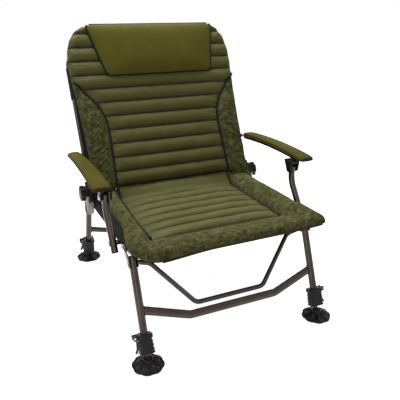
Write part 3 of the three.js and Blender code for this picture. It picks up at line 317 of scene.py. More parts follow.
# Back mattress, up the back tubes from the recline pivot
BACK_PAD_START = 4
BACK_PAD_END = 592
BACK_SEAM = 31
BACK_EDGE = 19
BACK_CHANNEL = 12
BACK_CHANNELS = 11
BACK_PITCH = 50.6
WING_DROP = 33
BACK_WING = 16
BACK_WING_TOP = 366
BACK_EDGE_ROUND = 26
BACK_SIDE_BAND = 21
BACK_PANEL_SHARE = 0.72
WING_FOLD_SPAN = (90, 340)
OUTLINE_SHARES = [0, 0.06, 0.14, 0.34, 0.56, 0.68, 0.78, 0.85, 0.915, 0.965, 1]
LEFT_HALVES = [297, 298, 299, 302, 309, 315, 317, 311, 298, 277, 245]
RIGHT_HALVES = [308, 308, 309, 310, 314, 318, 321, 318, 308, 290, 263]
PANEL_SHARES = [0, 0.5, 0.65, 0.79, 1]
PANEL_HALVES = [222, 216, 219, 237, 296]

# Head pillow
PILLOW_START = 402
PILLOW_END = 590
PILLOW_START_HALVES = (188, 220)
PILLOW_END_HALVES = (238, 256)
PILLOW_FLOOR = 37
PILLOW_EDGE = 8
PILLOW_CROWN = 26
PILLOW_CORNER = 16

# Unevenness of the cloth: the height, length and seed of each ripple, and how folds fade
SEAT_BOLSTER_RIPPLES = ((1.5, 90, 3), (0.8, 34, 4))
SEAT_PANEL_RIPPLE = (0.7, 46, 5)
SEAT_PUCKER = (0.9, 15, 6)
WING_RIPPLES = ((1.6, 80, 9), (0.9, 30, 10))
WING_CREASE_BEND = (2.2, 90, 8)
WING_CREASE_FADE = (0.6, 60, 13)
WING_CREASE = 1.5
WING_CREASE_PITCH = 2.9
BACK_PANEL_RIPPLE = (0.6, 46, 11)
BACK_PUCKER = (0.9, 15, 12)
CHANNEL_POWER = 0.62
PUCKER_REACH = 26
PANEL_FADE = 12
PILLOW_RIPPLES = ((0.35, 160, 21), (0.12, 60, 22))
SLING_RIPPLE = (0.7, 110, 31)

# Simulated cloth: its pressure, its slack where it is loose, and the farthest it may move
SEAT_SWELL = (2.0, 0.03, 5)
BACK_SWELL = (2.0, 0.04, 5)
PILLOW_SWELL = (1.0, 0.0, 4)

# Seams, and what keeps the cushions off their neighbours
PIPING = 4.8
PIPING_OVERRUN = 2
PIPING_START = 6
PIPING_END = 3
PIPING_RISE = 22
PIPING_CORNER = 12
PIPING_STEPS = 8
BINDING = 3.8
BINDING_DROP = 1.5
BACK_PIPING_STAND = 1.2
HEM_STAND = 3
PAD_LEAST = 2
PAD_OVER_TUBE = 2
HOUSING_COVER = 6
COVER_ABOVE = (4, 24)
COVER_ASIDE = (14, 3)
PRESS_OUT = 6
PRESS_IN = 8
PILLOW_HOLD = 4
PILLOW_PIPING_STAND = 4
PILLOW_END_STAND = 2.5
PILLOW_PIPING_OUT = 0.5
# Painted seam shade: the width of its dark line, the width of its softer fall, and how far ahead of
# the front seam the side seams' shade begins
SEAM_WIDTH = 3.4
SEAM_SHADE = 11
SIDE_SHADE_START = 4
TINY = 1e-6
SIMULATION_FRAMES = 20
CLOTH_FACTS = {
    "vertex_group_mass": "held", "use_pressure": True, "vertex_group_shrink": "loose",
    "shrink_min": 0, "quality": 6, "tension_stiffness": 12, "compression_stiffness": 12,
    "shear_stiffness": 4, "bending_stiffness": 0.6, "air_damping": 2,
}

# Studio, in metres, degrees and watts, with each lamp's name, place, size, power and height
CAMERA_PLACE = (-0.6547, -1.5023, 0.9708)
CAMERA_DOWN = 21.21
CAMERA_TURN = 24.80
CAMERA_LENS = 45
CAMERA_SENSOR = 36
FLOOR_HALF = 6
FLOOR_GLOW = 0.84
WORLD_LIGHT = 0.24
LAMP_AIM = (0, 0, 0.4)
LAMPS = [
    ("key_lamp", (-0.6, 0.8, 2.8), 1.2, 46, None),
    ("top_lamp", (0.6, 0.9, 2.8), 1.4, 44, None),
    ("side_lamp", (2.2, -1.2, 1.4), 0.6, 4, None),
    ("front_lamp", (-1.3, -1.9, 1.1), 0.3, 10, 1.8),
    ("rim_lamp", (-2.0, -0.2, 1.9), 0.2, 6, 1.2),
]


# Places

def shift(x, y, z):
    return Matrix.Translation((x, y, z))


def turn(axis, angle):
    return Matrix.Rotation(math.radians(angle), 4, axis)


def along_x(x, y=0, z=0, angle=90):
    """A place whose Z lies along the chair's X."""
    return shift(x, y, z) @ turn("Y", angle)


def plate_at(x):
    """A place for a plate drawn as Y and Z, thick along X."""
    return shift(x, 0, 0) @ SIDEWAYS


def mirrored(side):
    return MIRROR if side < 0 else Matrix.Identity(4)


def joint_place(name):
    joint = next(joint for joint in frame["joints"] if joint["name"] == name)
    return Vector(joint["pos_m"]) / MM


MIRROR = Matrix.Diagonal((-1, 1, 1, 1))
SIDEWAYS = Matrix(((0, 0, 1, 0), (1, 0, 0, 0), (0, 1, 0, 0), (0, 0, 0, 1)))
RECLINE = joint_place("back_recline")
SEAT = shift(0, RECLINE.y - RECLINE_INSET, SEAT_HEIGHT) @ turn("X", -SEAT_FALL)
BACK = shift(0, RECLINE.y, RECLINE_HEIGHT) @ turn("X", -BACK_LEAN)
PLANES = {"seat": SEAT, "back": BACK}


# Meshes

class Form:
    """Points and faces of one piece, gathered before they become its mesh."""

    def __init__(self):
        self.points = []
        self.faces = []
        self.slots = []

    def add(self, shape, place=Matrix.Identity(4), slot=0):
        points, faces = shape
        first = len(self.points)
        flipped = place.determinant() < 0
        self.points += [place @ Vector(point) for point in points]
        for face in faces:
            ring = [first + index for index in face]
            self.faces.append(ring[::-1] if flipped else ring)
            self.slots.append(slot)
        return self


def make_piece(name, form, looks, body, node="", place=Matrix.Identity(4), sharp=32):
    """One object from a form, riding on its body and standing for its node."""
    flipped = place.determinant() < 0
    faces = [face[::-1] for face in form.faces] if flipped else form.faces
    places = [(place @ point) * MM for point in form.points]
    piece = make_object(name, places, faces, looks, form.slots)
    piece.data.set_sharp_from_angle(angle=math.radians(sharp))
    return settle(piece, body, node)


def make_object(name, places, faces, looks, slots):
    mesh = bpy.data.meshes.new(name)
    mesh.from_pydata(places, [], faces)
    for look in looks:
        mesh.materials.append(look)
    mesh.polygons.foreach_set("material_index", slots)
    mesh.shade_smooth()
    piece = bpy.data.objects.new(name, mesh)
    bpy.context.scene.collection.objects.link(piece)
    return piece


def settle(piece, body, node):
    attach(piece, body)
    if node:
        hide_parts(node)
    return piece


def circle(radius, count=ROUND):
    angles = [2 * math.pi * index / count for index in range(count)]
    return [(radius * math.cos(angle), radius * math.sin(angle)) for angle in angles]


def oval(width, height, count=ROUND):
    return [(x * width / 2, y * height / 2) for x, y in circle(1, count)]


def rounded_box(half_x, half_y, corner, each=8):
    """Points of a rectangle with rounded corners, turning left from its right side."""
    points = []
    for quarter, (sign_x, sign_y) in enumerate(((1, 1), (-1, 1), (-1, -1), (1, -1))):
        for step in range(each + 1):
            angle = math.radians(90 * (quarter + step / each))
            x = sign_x * (half_x - corner) + corner * math.cos(angle)
            y = sign_y * (half_y - corner) + corner * math.sin(angle)
            points.append((x, y))
    return points


def rounded(corners, radius):
    """A path through corners, each turned at a radius."""
    corners = [Vector(corner) for corner in corners]
    path = [corners[0]]
    for before, corner, after in zip(corners, corners[1:], corners[2:]):
        back = (before - corner).normalized()
        ahead = (after - corner).normalized()
        swing = math.pi - back.angle(ahead)
        setback = radius * math.tan(swing / 2)
        centre = corner + (back + ahead).normalized() * radius / math.cos(swing / 2)
        start = corner + back * setback - centre
        end = corner + ahead * setback - centre
        steps = max(2, math.ceil(math.degrees(swing) / BEND_STEP))
        for step in range(steps + 1):
            swept = swing * step / steps
            place = start * math.sin(swing - swept) + end * math.sin(swept)
            path.append(centre + place / math.sin(swing))
    path.append(corners[-1])
    return path


def sweep(path, section, up=None, scales=None):
    """A closed bar along a path, its section held square to the path without twist."""
    path = [Vector(point) for point in path]
    tangents = []
    for index in range(len(path)):
        ahead = path[min(index + 1, len(path) - 1)]
        behind = path[max(index - 1, 0)]
        tangents.append((ahead - behind).normalized())
    hint = Vector(up) if up else tangents[0].orthogonal()
    normal = (hint - tangents[0] * hint.dot(tangents[0])).normalized()
    points = []
    for index, (place, tangent) in enumerate(zip(path, tangents)):
        if index:
            normal = tangents[index - 1].rotation_difference(tangent) @ normal
        across = tangent.cross(normal)
        scale = scales[index] if scales else 1
        points += [place + (across * x + normal * y) * scale for x, y in section]
    return points, ring_faces(len(path), len(section))


def ring_faces(levels, count):
    """Faces of a closed body through rings of equal count, with its two ends."""
    faces = []
    for level in range(levels - 1):
        for index in range(count):
            a = level * count + index
            b = level * count + (index + 1) % count
            faces.append((a, b, b + count, a + count))
    last = (levels - 1) * count
    return faces + [tuple(reversed(range(count))), tuple(range(last, last + count))]


def loft(sections):
    """A closed body through rings of points, each a list of places of one length."""
    points = [point for section in sections for point in section]
    return points, ring_faces(len(sections), len(sections[0]))


def waved(profile, count, shape):
    """A body about Z: shape turns a profile's pair and an angle into radius and height."""
    sections = []
    for share, height in profile:
        ring = []
        for index in range(count):
            angle = 2 * math.pi * index / count
            radius, rise = shape(share, height, angle)
            ring.append((radius * math.cos(angle), radius * math.sin(angle), rise))
        sections.append(ring)
    return loft(sections)


def turned(profile, count=ROUND):
    """A turned piece about Z, from pairs of radius and height, its ends on the axis."""
    points = []
    rings = []
    for radius, height in profile:
        if radius < MM:
            rings.append([len(points)] * count)
            points.append((0, 0, height))
        else:
            rings.append(list(range(len(points), len(points) + count)))
            points += [(x, y, height) for x, y in circle(radius, count)]
    faces = []
    for low, high in zip(rings, rings[1:]):
        for index in range(count):
            following = (index + 1) % count
            ring = [low[index], low[following], high[following], high[index]]
            faces.append(tuple(dict.fromkeys(ring)))
    return points, [face for face in faces if len(face) > 2]


def doubled(profile, count=ROUND):
    """A turned piece that is the same above and below Z = 0, from its lower profile."""
    return turned(profile + [(radius, -height) for radius, height in profile[::-1]], count)


def slab(outline, depth, bevel, segments=3):
    """A plate of an outline in XY, up to a depth along Z, with its edges rounded."""
    work = bmesh.new()
    base = [work.verts.new((x, y, 0)) for x, y in outline]
    bottom = work.faces.new(base[::-1])
    top = bmesh.ops.extrude_face_region(work, geom=[bottom])
    lifted = [item for item in top["geom"] if isinstance(item, bmesh.types.BMVert)]
    for vert in lifted:
        vert.co.z = depth
    bmesh.ops.recalc_face_normals(work, faces=work.faces)
    edges = [edge for edge in work.edges if edge.calc_face_angle(0) > math.radians(25)]
    bmesh.ops.bevel(work, geom=edges, offset=bevel, segments=segments, profile=0.5,
                    affect="EDGES", clamp_overlap=True)
    bmesh.ops.recalc_face_normals(work, faces=work.faces)
    work.verts.index_update()
    points = [tuple(vert.co) for vert in work.verts]
    faces = [tuple(vert.index for vert in face.verts) for face in work.faces]
    work.free()
    return points, faces


def hull(points):
    """The smallest convex outline round points, turning left."""
    ordered = sorted(set(points))

    def half(line):
        chain = []
        for point in line:
            while len(chain) > 1 and cross(chain[-2], chain[-1], point) <= MM:
                chain.pop()
            chain.append(point)
        return chain[:-1]

    return half(ordered) + half(ordered[::-1])


def cross(origin, a, b):
    return (a[0] - origin[0]) * (b[1] - origin[1]) - (a[1] - origin[1]) * (b[0] - origin[0])


def disc_points(x, y, radius, count=24):
    return [(x + a, y + b) for a, b in circle(radius, count)]


def box(size_x, size_y, size_z, bevel):
    """A block round the origin with its edges rounded."""
    outline = rounded_box(size_x / 2, size_y / 2, bevel, 2)
    points, faces = slab(outline, size_z, bevel / 2, 2)
    return [(x, y, z - size_z / 2) for x, y, z in points], faces


def bolt(reach, head=BOLT_HEAD, height=BOLT_HEAD_HEIGHT, shank=BOLT):
    """A bolt along Z: its shank up to a reach, then a domed hexagon-socket head."""
    socket = head * 0.42
    return turned([
        (0, 0), (shank, 0), (shank, reach), (head * 0.96, reach),
        (head, reach + height * 0.12), (head, reach + height * 0.6),
        (head * 0.82, reach + height * 0.92), (head * 0.6, reach + height),
        (socket, reach + height), (socket, reach + height * 0.45), (0, reach + height * 0.45),
    ])


def cross_bolt(inner, outer):
    """A bolt along X, from the nut on its inner end to its head."""
    form = Form().add(bolt(outer - inner), along_x(inner))
    nut = slab(circle(BOLT_HEAD, 6), BOLT_HEAD_HEIGHT, NUT_ROUND)
    return form.add(nut, along_x(inner - BOLT_HEAD_HEIGHT))


# Looks

class Look:
    """The shader nodes of a material or of the world, while they are put together."""

    def __init__(self, owner, shader="Principled BSDF"):
        owner.use_nodes = True
        self.owner = owner
        self.tree = owner.node_tree
        self.shader = self.tree.nodes[shader]

    def set(self, **values):
        for name, value in values.items():
            self.shader.inputs[name.replace("_", " ")].default_value = value

    def connect(self, socket, value):
        if isinstance(value, bpy.types.NodeSocket):
            self.tree.links.new(value, socket)
        else:
            socket.default_value = value

    def link(self, name, value):
        self.connect(self.shader.inputs[name], value)

    def node(self, kind, inputs=None, **settings):
        made = self.tree.nodes.new("ShaderNode" + kind)
        for name, value in settings.items():
            setattr(made, name, value)
        for name, value in (inputs or {}).items():
            self.connect(made.inputs[name], value)
        return made

    def place(self, stretch=(1, 1, 1)):
        source = self.node("TexCoord").outputs["Object"]
        return self.node("Mapping", {"Vector": source, "Scale": stretch}).outputs["Vector"]

    def noise(self, vector, scale, detail=3.0, roughness=0.55):
        inputs = {"Vector": vector, "Scale": scale, "Detail": detail, "Roughness": roughness}
        return self.node("TexNoise", inputs).outputs["Fac"]

    def wave(self, vector, scale, direction):
        inputs = {"Vector": vector, "Scale": scale}
        return self.node("TexWave", inputs, bands_direction=direction).outputs["Fac"]

    def ramp(self, value, stops):
        made = self.node("ValToRGB", {"Fac": value})
        points = made.color_ramp.elements
        while len(points) < len(stops):
            points.new(0.5)
        for point, (position, color) in zip(points, stops):
            point.position = position
            point.color = (*color, 1)
        return made.outputs["Color"]

    def mix(self, factor, a, b):
        made = self.node("Mix", data_type="RGBA")
        for index, value in ((0, factor), (6, a), (7, b)):
            self.connect(made.inputs[index], (*value, 1) if isinstance(value, tuple) else value)
        return made.outputs[2]

    def math(self, operation, a, b):
        made = self.node("Math", operation=operation)
        self.connect(made.inputs[0], a)
        self.connect(made.inputs[1], b)
        return made.outputs[0]

    def span(self, value, low, high):
        inputs = {"Value": value, "To Min": low, "To Max": high}
        return self.node("MapRange", inputs).outputs["Result"]

    def facing_up(self):
        """0 where the surface looks down and 1 where it looks up, in the piece's own frame."""
        normal = self.node("TexCoord").outputs["Normal"]
        height = self.node("SeparateXYZ", {"Vector": normal}).outputs["Z"]
        return self.node("MapRange", {"Value": height, "From Min": -1}).outputs["Result"]

    def directly_seen(self):
        """1 for the rays that show a surface, and 0 for those that carry its light."""
        rays = self.node("LightPath").outputs
        seen = self.math("MAXIMUM", rays["Is Camera Ray"], rays["Is Glossy Ray"])
        return self.math("MAXIMUM", seen, rays["Is Transmission Ray"])

    def painted_fold_shade(self, color, depth):
        """Painted shade: darker in the folds of seams, where the fold attribute is high."""
        fold = self.node("Attribute", attribute_name="fold").outputs["Fac"]
        return self.mix(self.math("MULTIPLY", fold, depth), color, (0.006, 0.006, 0.003))

    def bump(self, height, strength, depth):
        """Relief of a depth in millimetres, on top of any that is already there."""
        made = self.node("Bump", {"Height": height, "Strength": strength, "Distance": depth * MM})
        normal = self.shader.inputs["Normal"]
        if normal.is_linked:
            self.tree.links.new(normal.links[0].from_socket, made.inputs["Normal"])
        self.tree.links.new(made.outputs["Normal"], normal)
        return self.owner


def new_look(name):
    return Look(bpy.data.materials.new(name))


def paint_look():
    """Dark bronze powder coat: fine orange peel, slightly worn and dusty."""
    look = new_look("frame_paint")
    place = look.place()
    cloud = look.noise(place, 14.0, 4.0)
    color = look.ramp(cloud, [(0.3, (0.03, 0.0215, 0.015)), (0.7, (0.046, 0.034, 0.0245))])
    scuff = look.noise(look.place((1, 1, 0.25)), 190.0, 6.0, 0.7)
    worn = look.ramp(scuff, [(0.62, (0, 0, 0)), (0.76, (0.45, 0.45, 0.45))])
    look.link("Base Color", look.mix(worn, color, (0.1, 0.08, 0.062)))
    look.link("Roughness", look.span(look.noise(place, 60.0, 3.0), 0.16, 0.28))
    look.set(Metallic=0.85, Coat_Weight=0.35, Coat_Roughness=0.05)
    return look.bump(look.noise(place, 900.0, 2.0), 0.25, 0.12)


def plastic_look(name, dark, light, rough):
    """Moulded plastic with a fine spark-eroded grain and dull smears."""
    look = new_look(name)
    place = look.place()
    cloud = look.noise(place, 35.0, 4.0)
    look.link("Base Color", look.ramp(cloud, [(0.3, dark), (0.75, light)]))
    look.link("Roughness", look.span(look.noise(place, 80.0, 3.0), rough - 0.1, rough + 0.14))
    look.set(Specular_IOR_Level=0.14)
    look.bump(look.noise(place, 1400.0, 2.0), 0.35, 0.12)
    return look.bump(look.noise(place, 160.0, 3.0), 0.15, 0.3)


def metal_look(name, dark, light, rough, metallic):
    """Cast or turned metal with a soft grain and fine scratches."""
    look = new_look(name)
    place = look.place()
    look.link("Base Color", look.ramp(look.noise(place, 45.0, 4.0), [(0.3, dark), (0.7, light)]))
    scratches = look.noise(look.place((1, 12, 1)), 260.0, 4.0, 0.7)
    look.link("Roughness", look.span(scratches, rough - 0.08, rough + 0.16))
    look.set(Metallic=metallic)
    return look.bump(look.noise(place, 700.0, 3.0), 0.3, 0.15)


def satin_look():
    """Olive satin-faced nylon of the channels, with a fine twill."""
    look = new_look("mattress_satin")
    place = look.place()
    cloud = look.noise(place, 9.0, 5.0, 0.6)
    color = look.ramp(cloud, [(0.3, (0.083, 0.081, 0.022)), (0.7, (0.107, 0.104, 0.029))])
    twill = look.wave(look.node("UVMap", uv_map="cut").outputs["UV"], 330.0, "DIAGONAL")
    woven = look.mix(look.math("MULTIPLY", twill, 0.22), color, (0.045, 0.047, 0.015))
    # Painted shade darkens the satin along its seams
    look.link("Base Color", look.painted_fold_shade(woven, 0.85))
    look.link("Roughness", look.span(look.noise(place, 30.0, 3.0), 0.44, 0.56))
    look.set(Sheen_Weight=0.03, Sheen_Roughness=0.4, Sheen_Tint=(0.5, 0.5, 0.26, 1))
    look.set(Specular_IOR_Level=0.1)
    look.bump(twill, 0.35, 0.2)
    return look.bump(look.noise(place, 120.0, 4.0), 0.25, 0.7)


def velour_look():
    """Crushed velour of the bolsters: mottled pile, dark where it is brushed over."""
    look = new_look("bolster_velour")
    place = look.place()
    wide = look.noise(place, 62.0, 3.0, 0.6)
    fine = look.noise(place, 190.0, 5.0, 0.72)
    mottle = look.math("ADD", look.math("MULTIPLY", wide, 0.55), look.math("MULTIPLY", fine, 0.45))
    color = look.ramp(mottle, [
        (0.38, (0.02, 0.022, 0.008)),
        (0.45, (0.055, 0.056, 0.018)),
        (0.53, (0.088, 0.087, 0.029)),
        (0.62, (0.15, 0.144, 0.056)),
    ])
    pile = look.noise(place, 950.0, 2.0)
    furred = look.mix(look.math("MULTIPLY", pile, 0.35), color, (0.018, 0.02, 0.008))
    # Painted shade darkens the velour along its seams
    look.link("Base Color", look.painted_fold_shade(furred, 0.7))
    look.set(Roughness=0.92, Sheen_Weight=0.16, Sheen_Roughness=0.4)
    look.set(Sheen_Tint=(0.6, 0.62, 0.36, 1), Specular_IOR_Level=0.08)
    look.bump(pile, 0.6, 0.5)
    return look.bump(fine, 0.5, 1.6)


def soft_skin_look(name, dark, light, side=None):
    """Smooth olive cover of the head pillow and the arm pads, with painted shade where a side colour
    is given: faces that do not look up take that darker colour.
    """
    look = new_look(name)
    place = look.place()
    cloud = look.noise(place, 12.0, 4.0, 0.6)
    top = look.ramp(cloud, [(0.3, dark), (0.7, light)])
    # Painted light and shade: the top keeps the cover's colour and the sides turn to the darker side
    # colour
    if side:
        lit_top_share = look.ramp(look.facing_up(), [(0.5, (0, 0, 0)), (0.82, (1, 1, 1))])
        top = look.mix(lit_top_share, side, top)
    look.link("Base Color", top)
    look.link("Roughness", look.span(look.noise(place, 60.0, 3.0), 0.5, 0.66))
    look.set(Sheen_Weight=0.01, Sheen_Roughness=0.5, Sheen_Tint=(0.55, 0.52, 0.2, 1))
    look.set(Specular_IOR_Level=0.05)
    look.bump(look.noise(place, 1300.0, 2.0), 0.4, 0.14)
    return look.bump(look.noise(place, 70.0, 3.0), 0.12, 0.8)


def webbing_look(name, dark, light, threads):
    """Coarse plain weave of slings, piping and undersides."""
    look = new_look(name)
    place = look.place()
    warp = look.wave(place, threads, "X")
    weft = look.wave(place, threads, "Z")
    depth = look.wave(place, threads, "Y")
    weave = look.math("MAXIMUM", look.math("MULTIPLY", warp, depth), look.math("MULTIPLY", weft, 0.8))
    color = look.ramp(weave, [(0.15, dark), (0.85, light)])
    dust = look.ramp(look.noise(place, 18.0, 4.0), [(0.4, (0, 0, 0)), (0.8, (0.2, 0.2, 0.2))])
    look.link("Base Color", look.mix(dust, color, light))
    look.set(Roughness=0.85, Sheen_Weight=0.03, Sheen_Roughness=0.5, Specular_IOR_Level=0.1)
    return look.bump(weave, 0.5, 0.35)


paint = paint_look()
black = plastic_look("black_plastic", (0.006, 0.005, 0.006), (0.014, 0.012, 0.014), 0.32)
grip = plastic_look("grip_plastic", (0.014, 0.0095, 0.013), (0.034, 0.025, 0.032), 0.34)
rubber = plastic_look("foot_rubber", (0.011, 0.006, 0.011), (0.026, 0.017, 0.025), 0.24)
zinc = metal_look("zinc_casting", (0.34, 0.28, 0.235), (0.5, 0.43, 0.37), 0.42, 0.35)
steel = metal_look("bolt_steel", (0.42, 0.41, 0.4), (0.62, 0.61, 0.6), 0.26, 0.9)
dark_steel = metal_look("inner_leg_steel", (0.05, 0.043, 0.038), (0.085, 0.073, 0.064), 0.3, 0.75)
satin = satin_look()
velour = velour_look()
soft_skin = soft_skin_look("pillow_cloth", (0.082, 0.075, 0.011), (0.105, 0.096, 0.015))
# The arm pads' last colour is painted shade for their sides and ends
arm_skin = soft_skin_look("arm_pad_cloth", (0.048, 0.041, 0.003), (0.07, 0.06, 0.005),
                          (0.034, 0.025, 0.005))
sling_cloth = webbing_look("sling_cloth", (0.007, 0.007, 0.005), (0.023, 0.0235, 0.015), 420.0)
piping_cloth = webbing_look("piping_cloth", (0.006, 0.006, 0.006), (0.02, 0.02, 0.018), 600.0)
binding_cloth = webbing_look("binding_cloth", (0.022, 0.014, 0.007), (0.055, 0.038, 0.02), 600.0)


# Seat frame and back frame

def end_plug(radius):
    """A ribbed plastic plug that closes a tube's end, along Z from the tube's mouth."""
    bore = radius - TUBE_WALL
    return turned([
        (0, -2 * PLUG), (bore, -2 * PLUG), (bore, 0), (radius, 0), (radius, PLUG * 0.7),
        (radius * 0.9, PLUG), (radius * 0.4, PLUG * 1.2), (0, PLUG * 1.2),
    ])


def both_sides(half):
    """A path over the whole width of the chair, from the half on one side."""
    return half + [(-x, y, z) for x, y, z in half[::-1]]


def build_bent_tube(body, half, bend, mouth, place):
    """A frame tube with a plug in each of its two ends."""
    form = Form().add(sweep(rounded(both_sides(half), bend), circle(TUBE)))
    for _, side in SIDES:
        form.add(end_plug(TUBE), mirrored(side) @ mouth, 1)
    make_piece(f"{body}_frame_tube", form, [paint, black], body, f"{body}_frame", place)


def build_seat_frame():
    half = [(-SEAT_HALF, SEAT_LENGTH, 0), (-SEAT_HALF, 0, 0)]
    mouth = shift(SEAT_HALF, SEAT_LENGTH, 0) @ turn("X", -90)
    build_bent_tube("seat", half, SEAT_CORNER, mouth, SEAT)

    reach = BRACE_REACH - BAR_ROOM
    path = [(-reach, 0, 0), (reach, 0, 0)]
    bar = Form().add(sweep(path, circle(REAR_BAR)), shift(0, SEAT_LENGTH - REAR_BAR_INSET, 0))
    make_piece("seat_rear_bar", bar, [paint], "seat", "seat_rear_crossbar", SEAT)


def build_back_frame():
    half = [
        (-BACK_HALF, 0, -BACK_FOOT), (-BACK_HALF, 0, BACK_SHOULDER),
        (-BACK_TOP_HALF, 0, BACK_TOP),
    ]
    mouth = shift(BACK_HALF, 0, -BACK_FOOT) @ turn("X", 180)
    build_bent_tube("back", half, BACK_BEND, mouth, BACK)

    half = HOUSING_WIDTH / 2
    for name, side in SIDES:
        shape = doubled([
            (0, -half), (HOUSING * 0.55, -half), (HOUSING * 0.6, CHAMFER - half),
            (HOUSING * 0.84, CHAMFER - half), (HOUSING * 0.88, -half),
            (HOUSING - CHAMFER, -half), (HOUSING, CHAMFER - half),
        ], 64)
        housing = Form().add(shape, along_x(side * BACK_HALF))
        path = [(0, 0, HOUSING - NECK_BLOCK_REACH), (0, 0, HOUSING + NECK_BLOCK_REACH)]
        housing.add(sweep(path, rounded_box(*NECK_BLOCK)), shift(side * BACK_HALF, 0, 0))
        make_piece(f"hinge_housing_{name}", housing, [black], "back", f"back_hinge_{name}", BACK)


# Recline hinge on the seat tubes

def lobed_knob():
    """A knob with rounded lobes, along Z from its flat face, and a recessed cap."""
    def shape(share, height, angle):
        lobe = math.cos(KNOB_LOBES * angle) * max(0, (share - 0.6) / 0.4) - share
        return KNOB * share + KNOB_LOBE * lobe, KNOB_WIDTH * height

    return waved(KNOB_PROFILE, 96, shape)


def build_recline_hinges():
    foot = CASTING_HALF / 2
    low = CASTING_BOTTOM - foot
    feet = disc_points(-foot, -low, foot) + disc_points(foot, -low, foot)
    outline = hull(disc_points(0, 0, CASTING_RADIUS) + feet)
    pocket = HOUSING + CHAMFER
    half = CASTING_HALF * 0.98
    lower = [point for point in outline if point[1] < -pocket]
    lower = hull(lower + [(-half, -pocket), (half, -pocket)])
    rib = hull(disc_points(0, -pocket - CASTING_RIB_DROP, CASTING_RIB_TOP)
               + disc_points(0, -low, CASTING_RIB_FOOT))
    cap = disc_points(0, 0, CASTING_RADIUS + CASTING_CAP, 48)
    depth = CASTING_THICK + PLATE_INNER - CASTING_INNER
    inner = BACK_HALF - HOUSING_WIDTH / 2 - FIT
    reach = KNOB_INNER + KNOB_WIDTH / 2 - FIT - inner
    for name, side in SIDES:
        place = mirrored(side) @ shift(0, RECLINE.y, RECLINE.z)
        casting = Form()
        casting.add(slab(outline, CASTING_THICK, CASTING_ROUND), plate_at(PLATE_INNER))
        casting.add(slab(lower, depth, CASTING_ROUND), plate_at(CASTING_INNER))
        casting.add(slab(rib, CHAMFER, CASTING_CAP), plate_at(CASTING_OUTER - CASTING_RIB_SINK))
        casting.add(slab(cap, CASTING_THICK + FIT, CUT), plate_at(PLATE_INNER - FIT / 2), 2)
        for height in (-pocket - CASTING_SCREW_DROP, -low):
            casting.add(bolt(*CASTING_SCREW), along_x(CASTING_OUTER - EDGE, 0, height), 1)
        make_piece(f"recline_casting_{name}", casting, [zinc, steel, black], "seat",
                   f"hinge_bracket_{name}", place)

        knob = Form().add(lobed_knob(), along_x(KNOB_INNER))
        make_piece(f"recline_knob_body_{name}", knob, [black], f"knob_{name}",
                   f"recline_knob_{name}", place)

        shank = bolt(reach, shank=RECLINE_BOLT)
        long_bolt = Form().add(shank, along_x(inner + reach, angle=-90))
        make_piece(f"recline_bolt_body_{name}", long_bolt, [steel], "seat",
                   f"recline_bolt_{name}", place)


# Legs

def leg_facts(name, sign, inset):
    """Where a set of legs pivots and leans, and how far its parts lie down its axis."""
    pivot = SEAT @ Vector((0, inset, 0))
    lean = math.radians(LEG_LEAN)

    def drop(height):
        return (height - pivot.z - LEG_OFFSET * math.sin(lean)) / math.cos(lean)

    corner = TUBE / math.cos(math.pi / 12)
    return {
        "name": name,
        "place": shift(*pivot) @ turn("X", sign * LEG_LEAN),
        "axis": sign * LEG_OFFSET,
        "top": -((LEG_OFFSET + corner) * math.tan(lean) + corner / math.cos(lean) + LEG_TOP_ROOM),
        "bottom": drop(LEG_BOTTOM_HEIGHT),
        "ball": drop(BALL_HEIGHT),
        "body": f"{name}_legs",
    }


def collar_outline(share):
    """The collar's grooved and tapered outline at a share of its height."""
    scale = 1 - COLLAR_TAPER * share
    edge = min(share, 1 - share)
    phase = (share * COLLAR_RIBS) % 1
    groove = COLLAR_GROOVE if 0.28 < phase < 0.72 and edge > 0.05 else 0
    chamfer = max(0, COLLAR_CHAMFER - COLLAR_LENGTH * edge) * 0.8
    ring = []
    half_sizes = (COLLAR_WIDTH / 2 * scale, COLLAR_DEPTH / 2 * scale)
    for x, y in rounded_box(*half_sizes, COLLAR_CORNER, 6):
        rib = abs((x / COLLAR_PAD) % 1 - 0.5) > 0.14
        grooved = abs(x) > COLLAR_WIDTH * 0.38 or abs(x) < COLLAR_WIDTH * 0.32 and rib
        size = 1 - (chamfer + (groove if grooved else 0)) / math.hypot(x, y)
        ring.append((x * size, y * size, COLLAR_LENGTH * share))
    return ring


def collar_form():
    """The clamp collar round a leg's foot, upright from its lower end."""
    levels = range(COLLAR_LEVELS + 1)
    form = Form().add(loft([collar_outline(level / COLLAR_LEVELS) for level in levels]))
    height = COLLAR_LENGTH - EAR_HEIGHT / 2
    half_x = COLLAR_WIDTH * 0.45 + COLLAR_BAND
    half_y = COLLAR_DEPTH * 0.45 + COLLAR_BAND
    band = slab(rounded_box(half_x, half_y, COLLAR_CORNER), EAR_HEIGHT * 0.8, CUT)
    form.add(band, shift(0, 0, height - EAR_HEIGHT * 0.4))
    width = (EAR_WIDTH - EAR_SLOT) / 2
    middle = COLLAR_WIDTH / 2 + EAR_REACH / 2 - COLLAR_WIDTH / 8
    for _, side in SIDES:
        ear = box(EAR_REACH + COLLAR_WIDTH / 4, width, EAR_HEIGHT, CHAMFER)
        form.add(ear, shift(middle, side * (EAR_SLOT + width) / 2, height))
    for share in COLLAR_SCREW_SHARES:
        place = along_x(COLLAR_SCREW_SINK - COLLAR_WIDTH / 2, 0, COLLAR_LENGTH * share, -90)
        form.add(bolt(*COLLAR_SCREW), place)
    return form


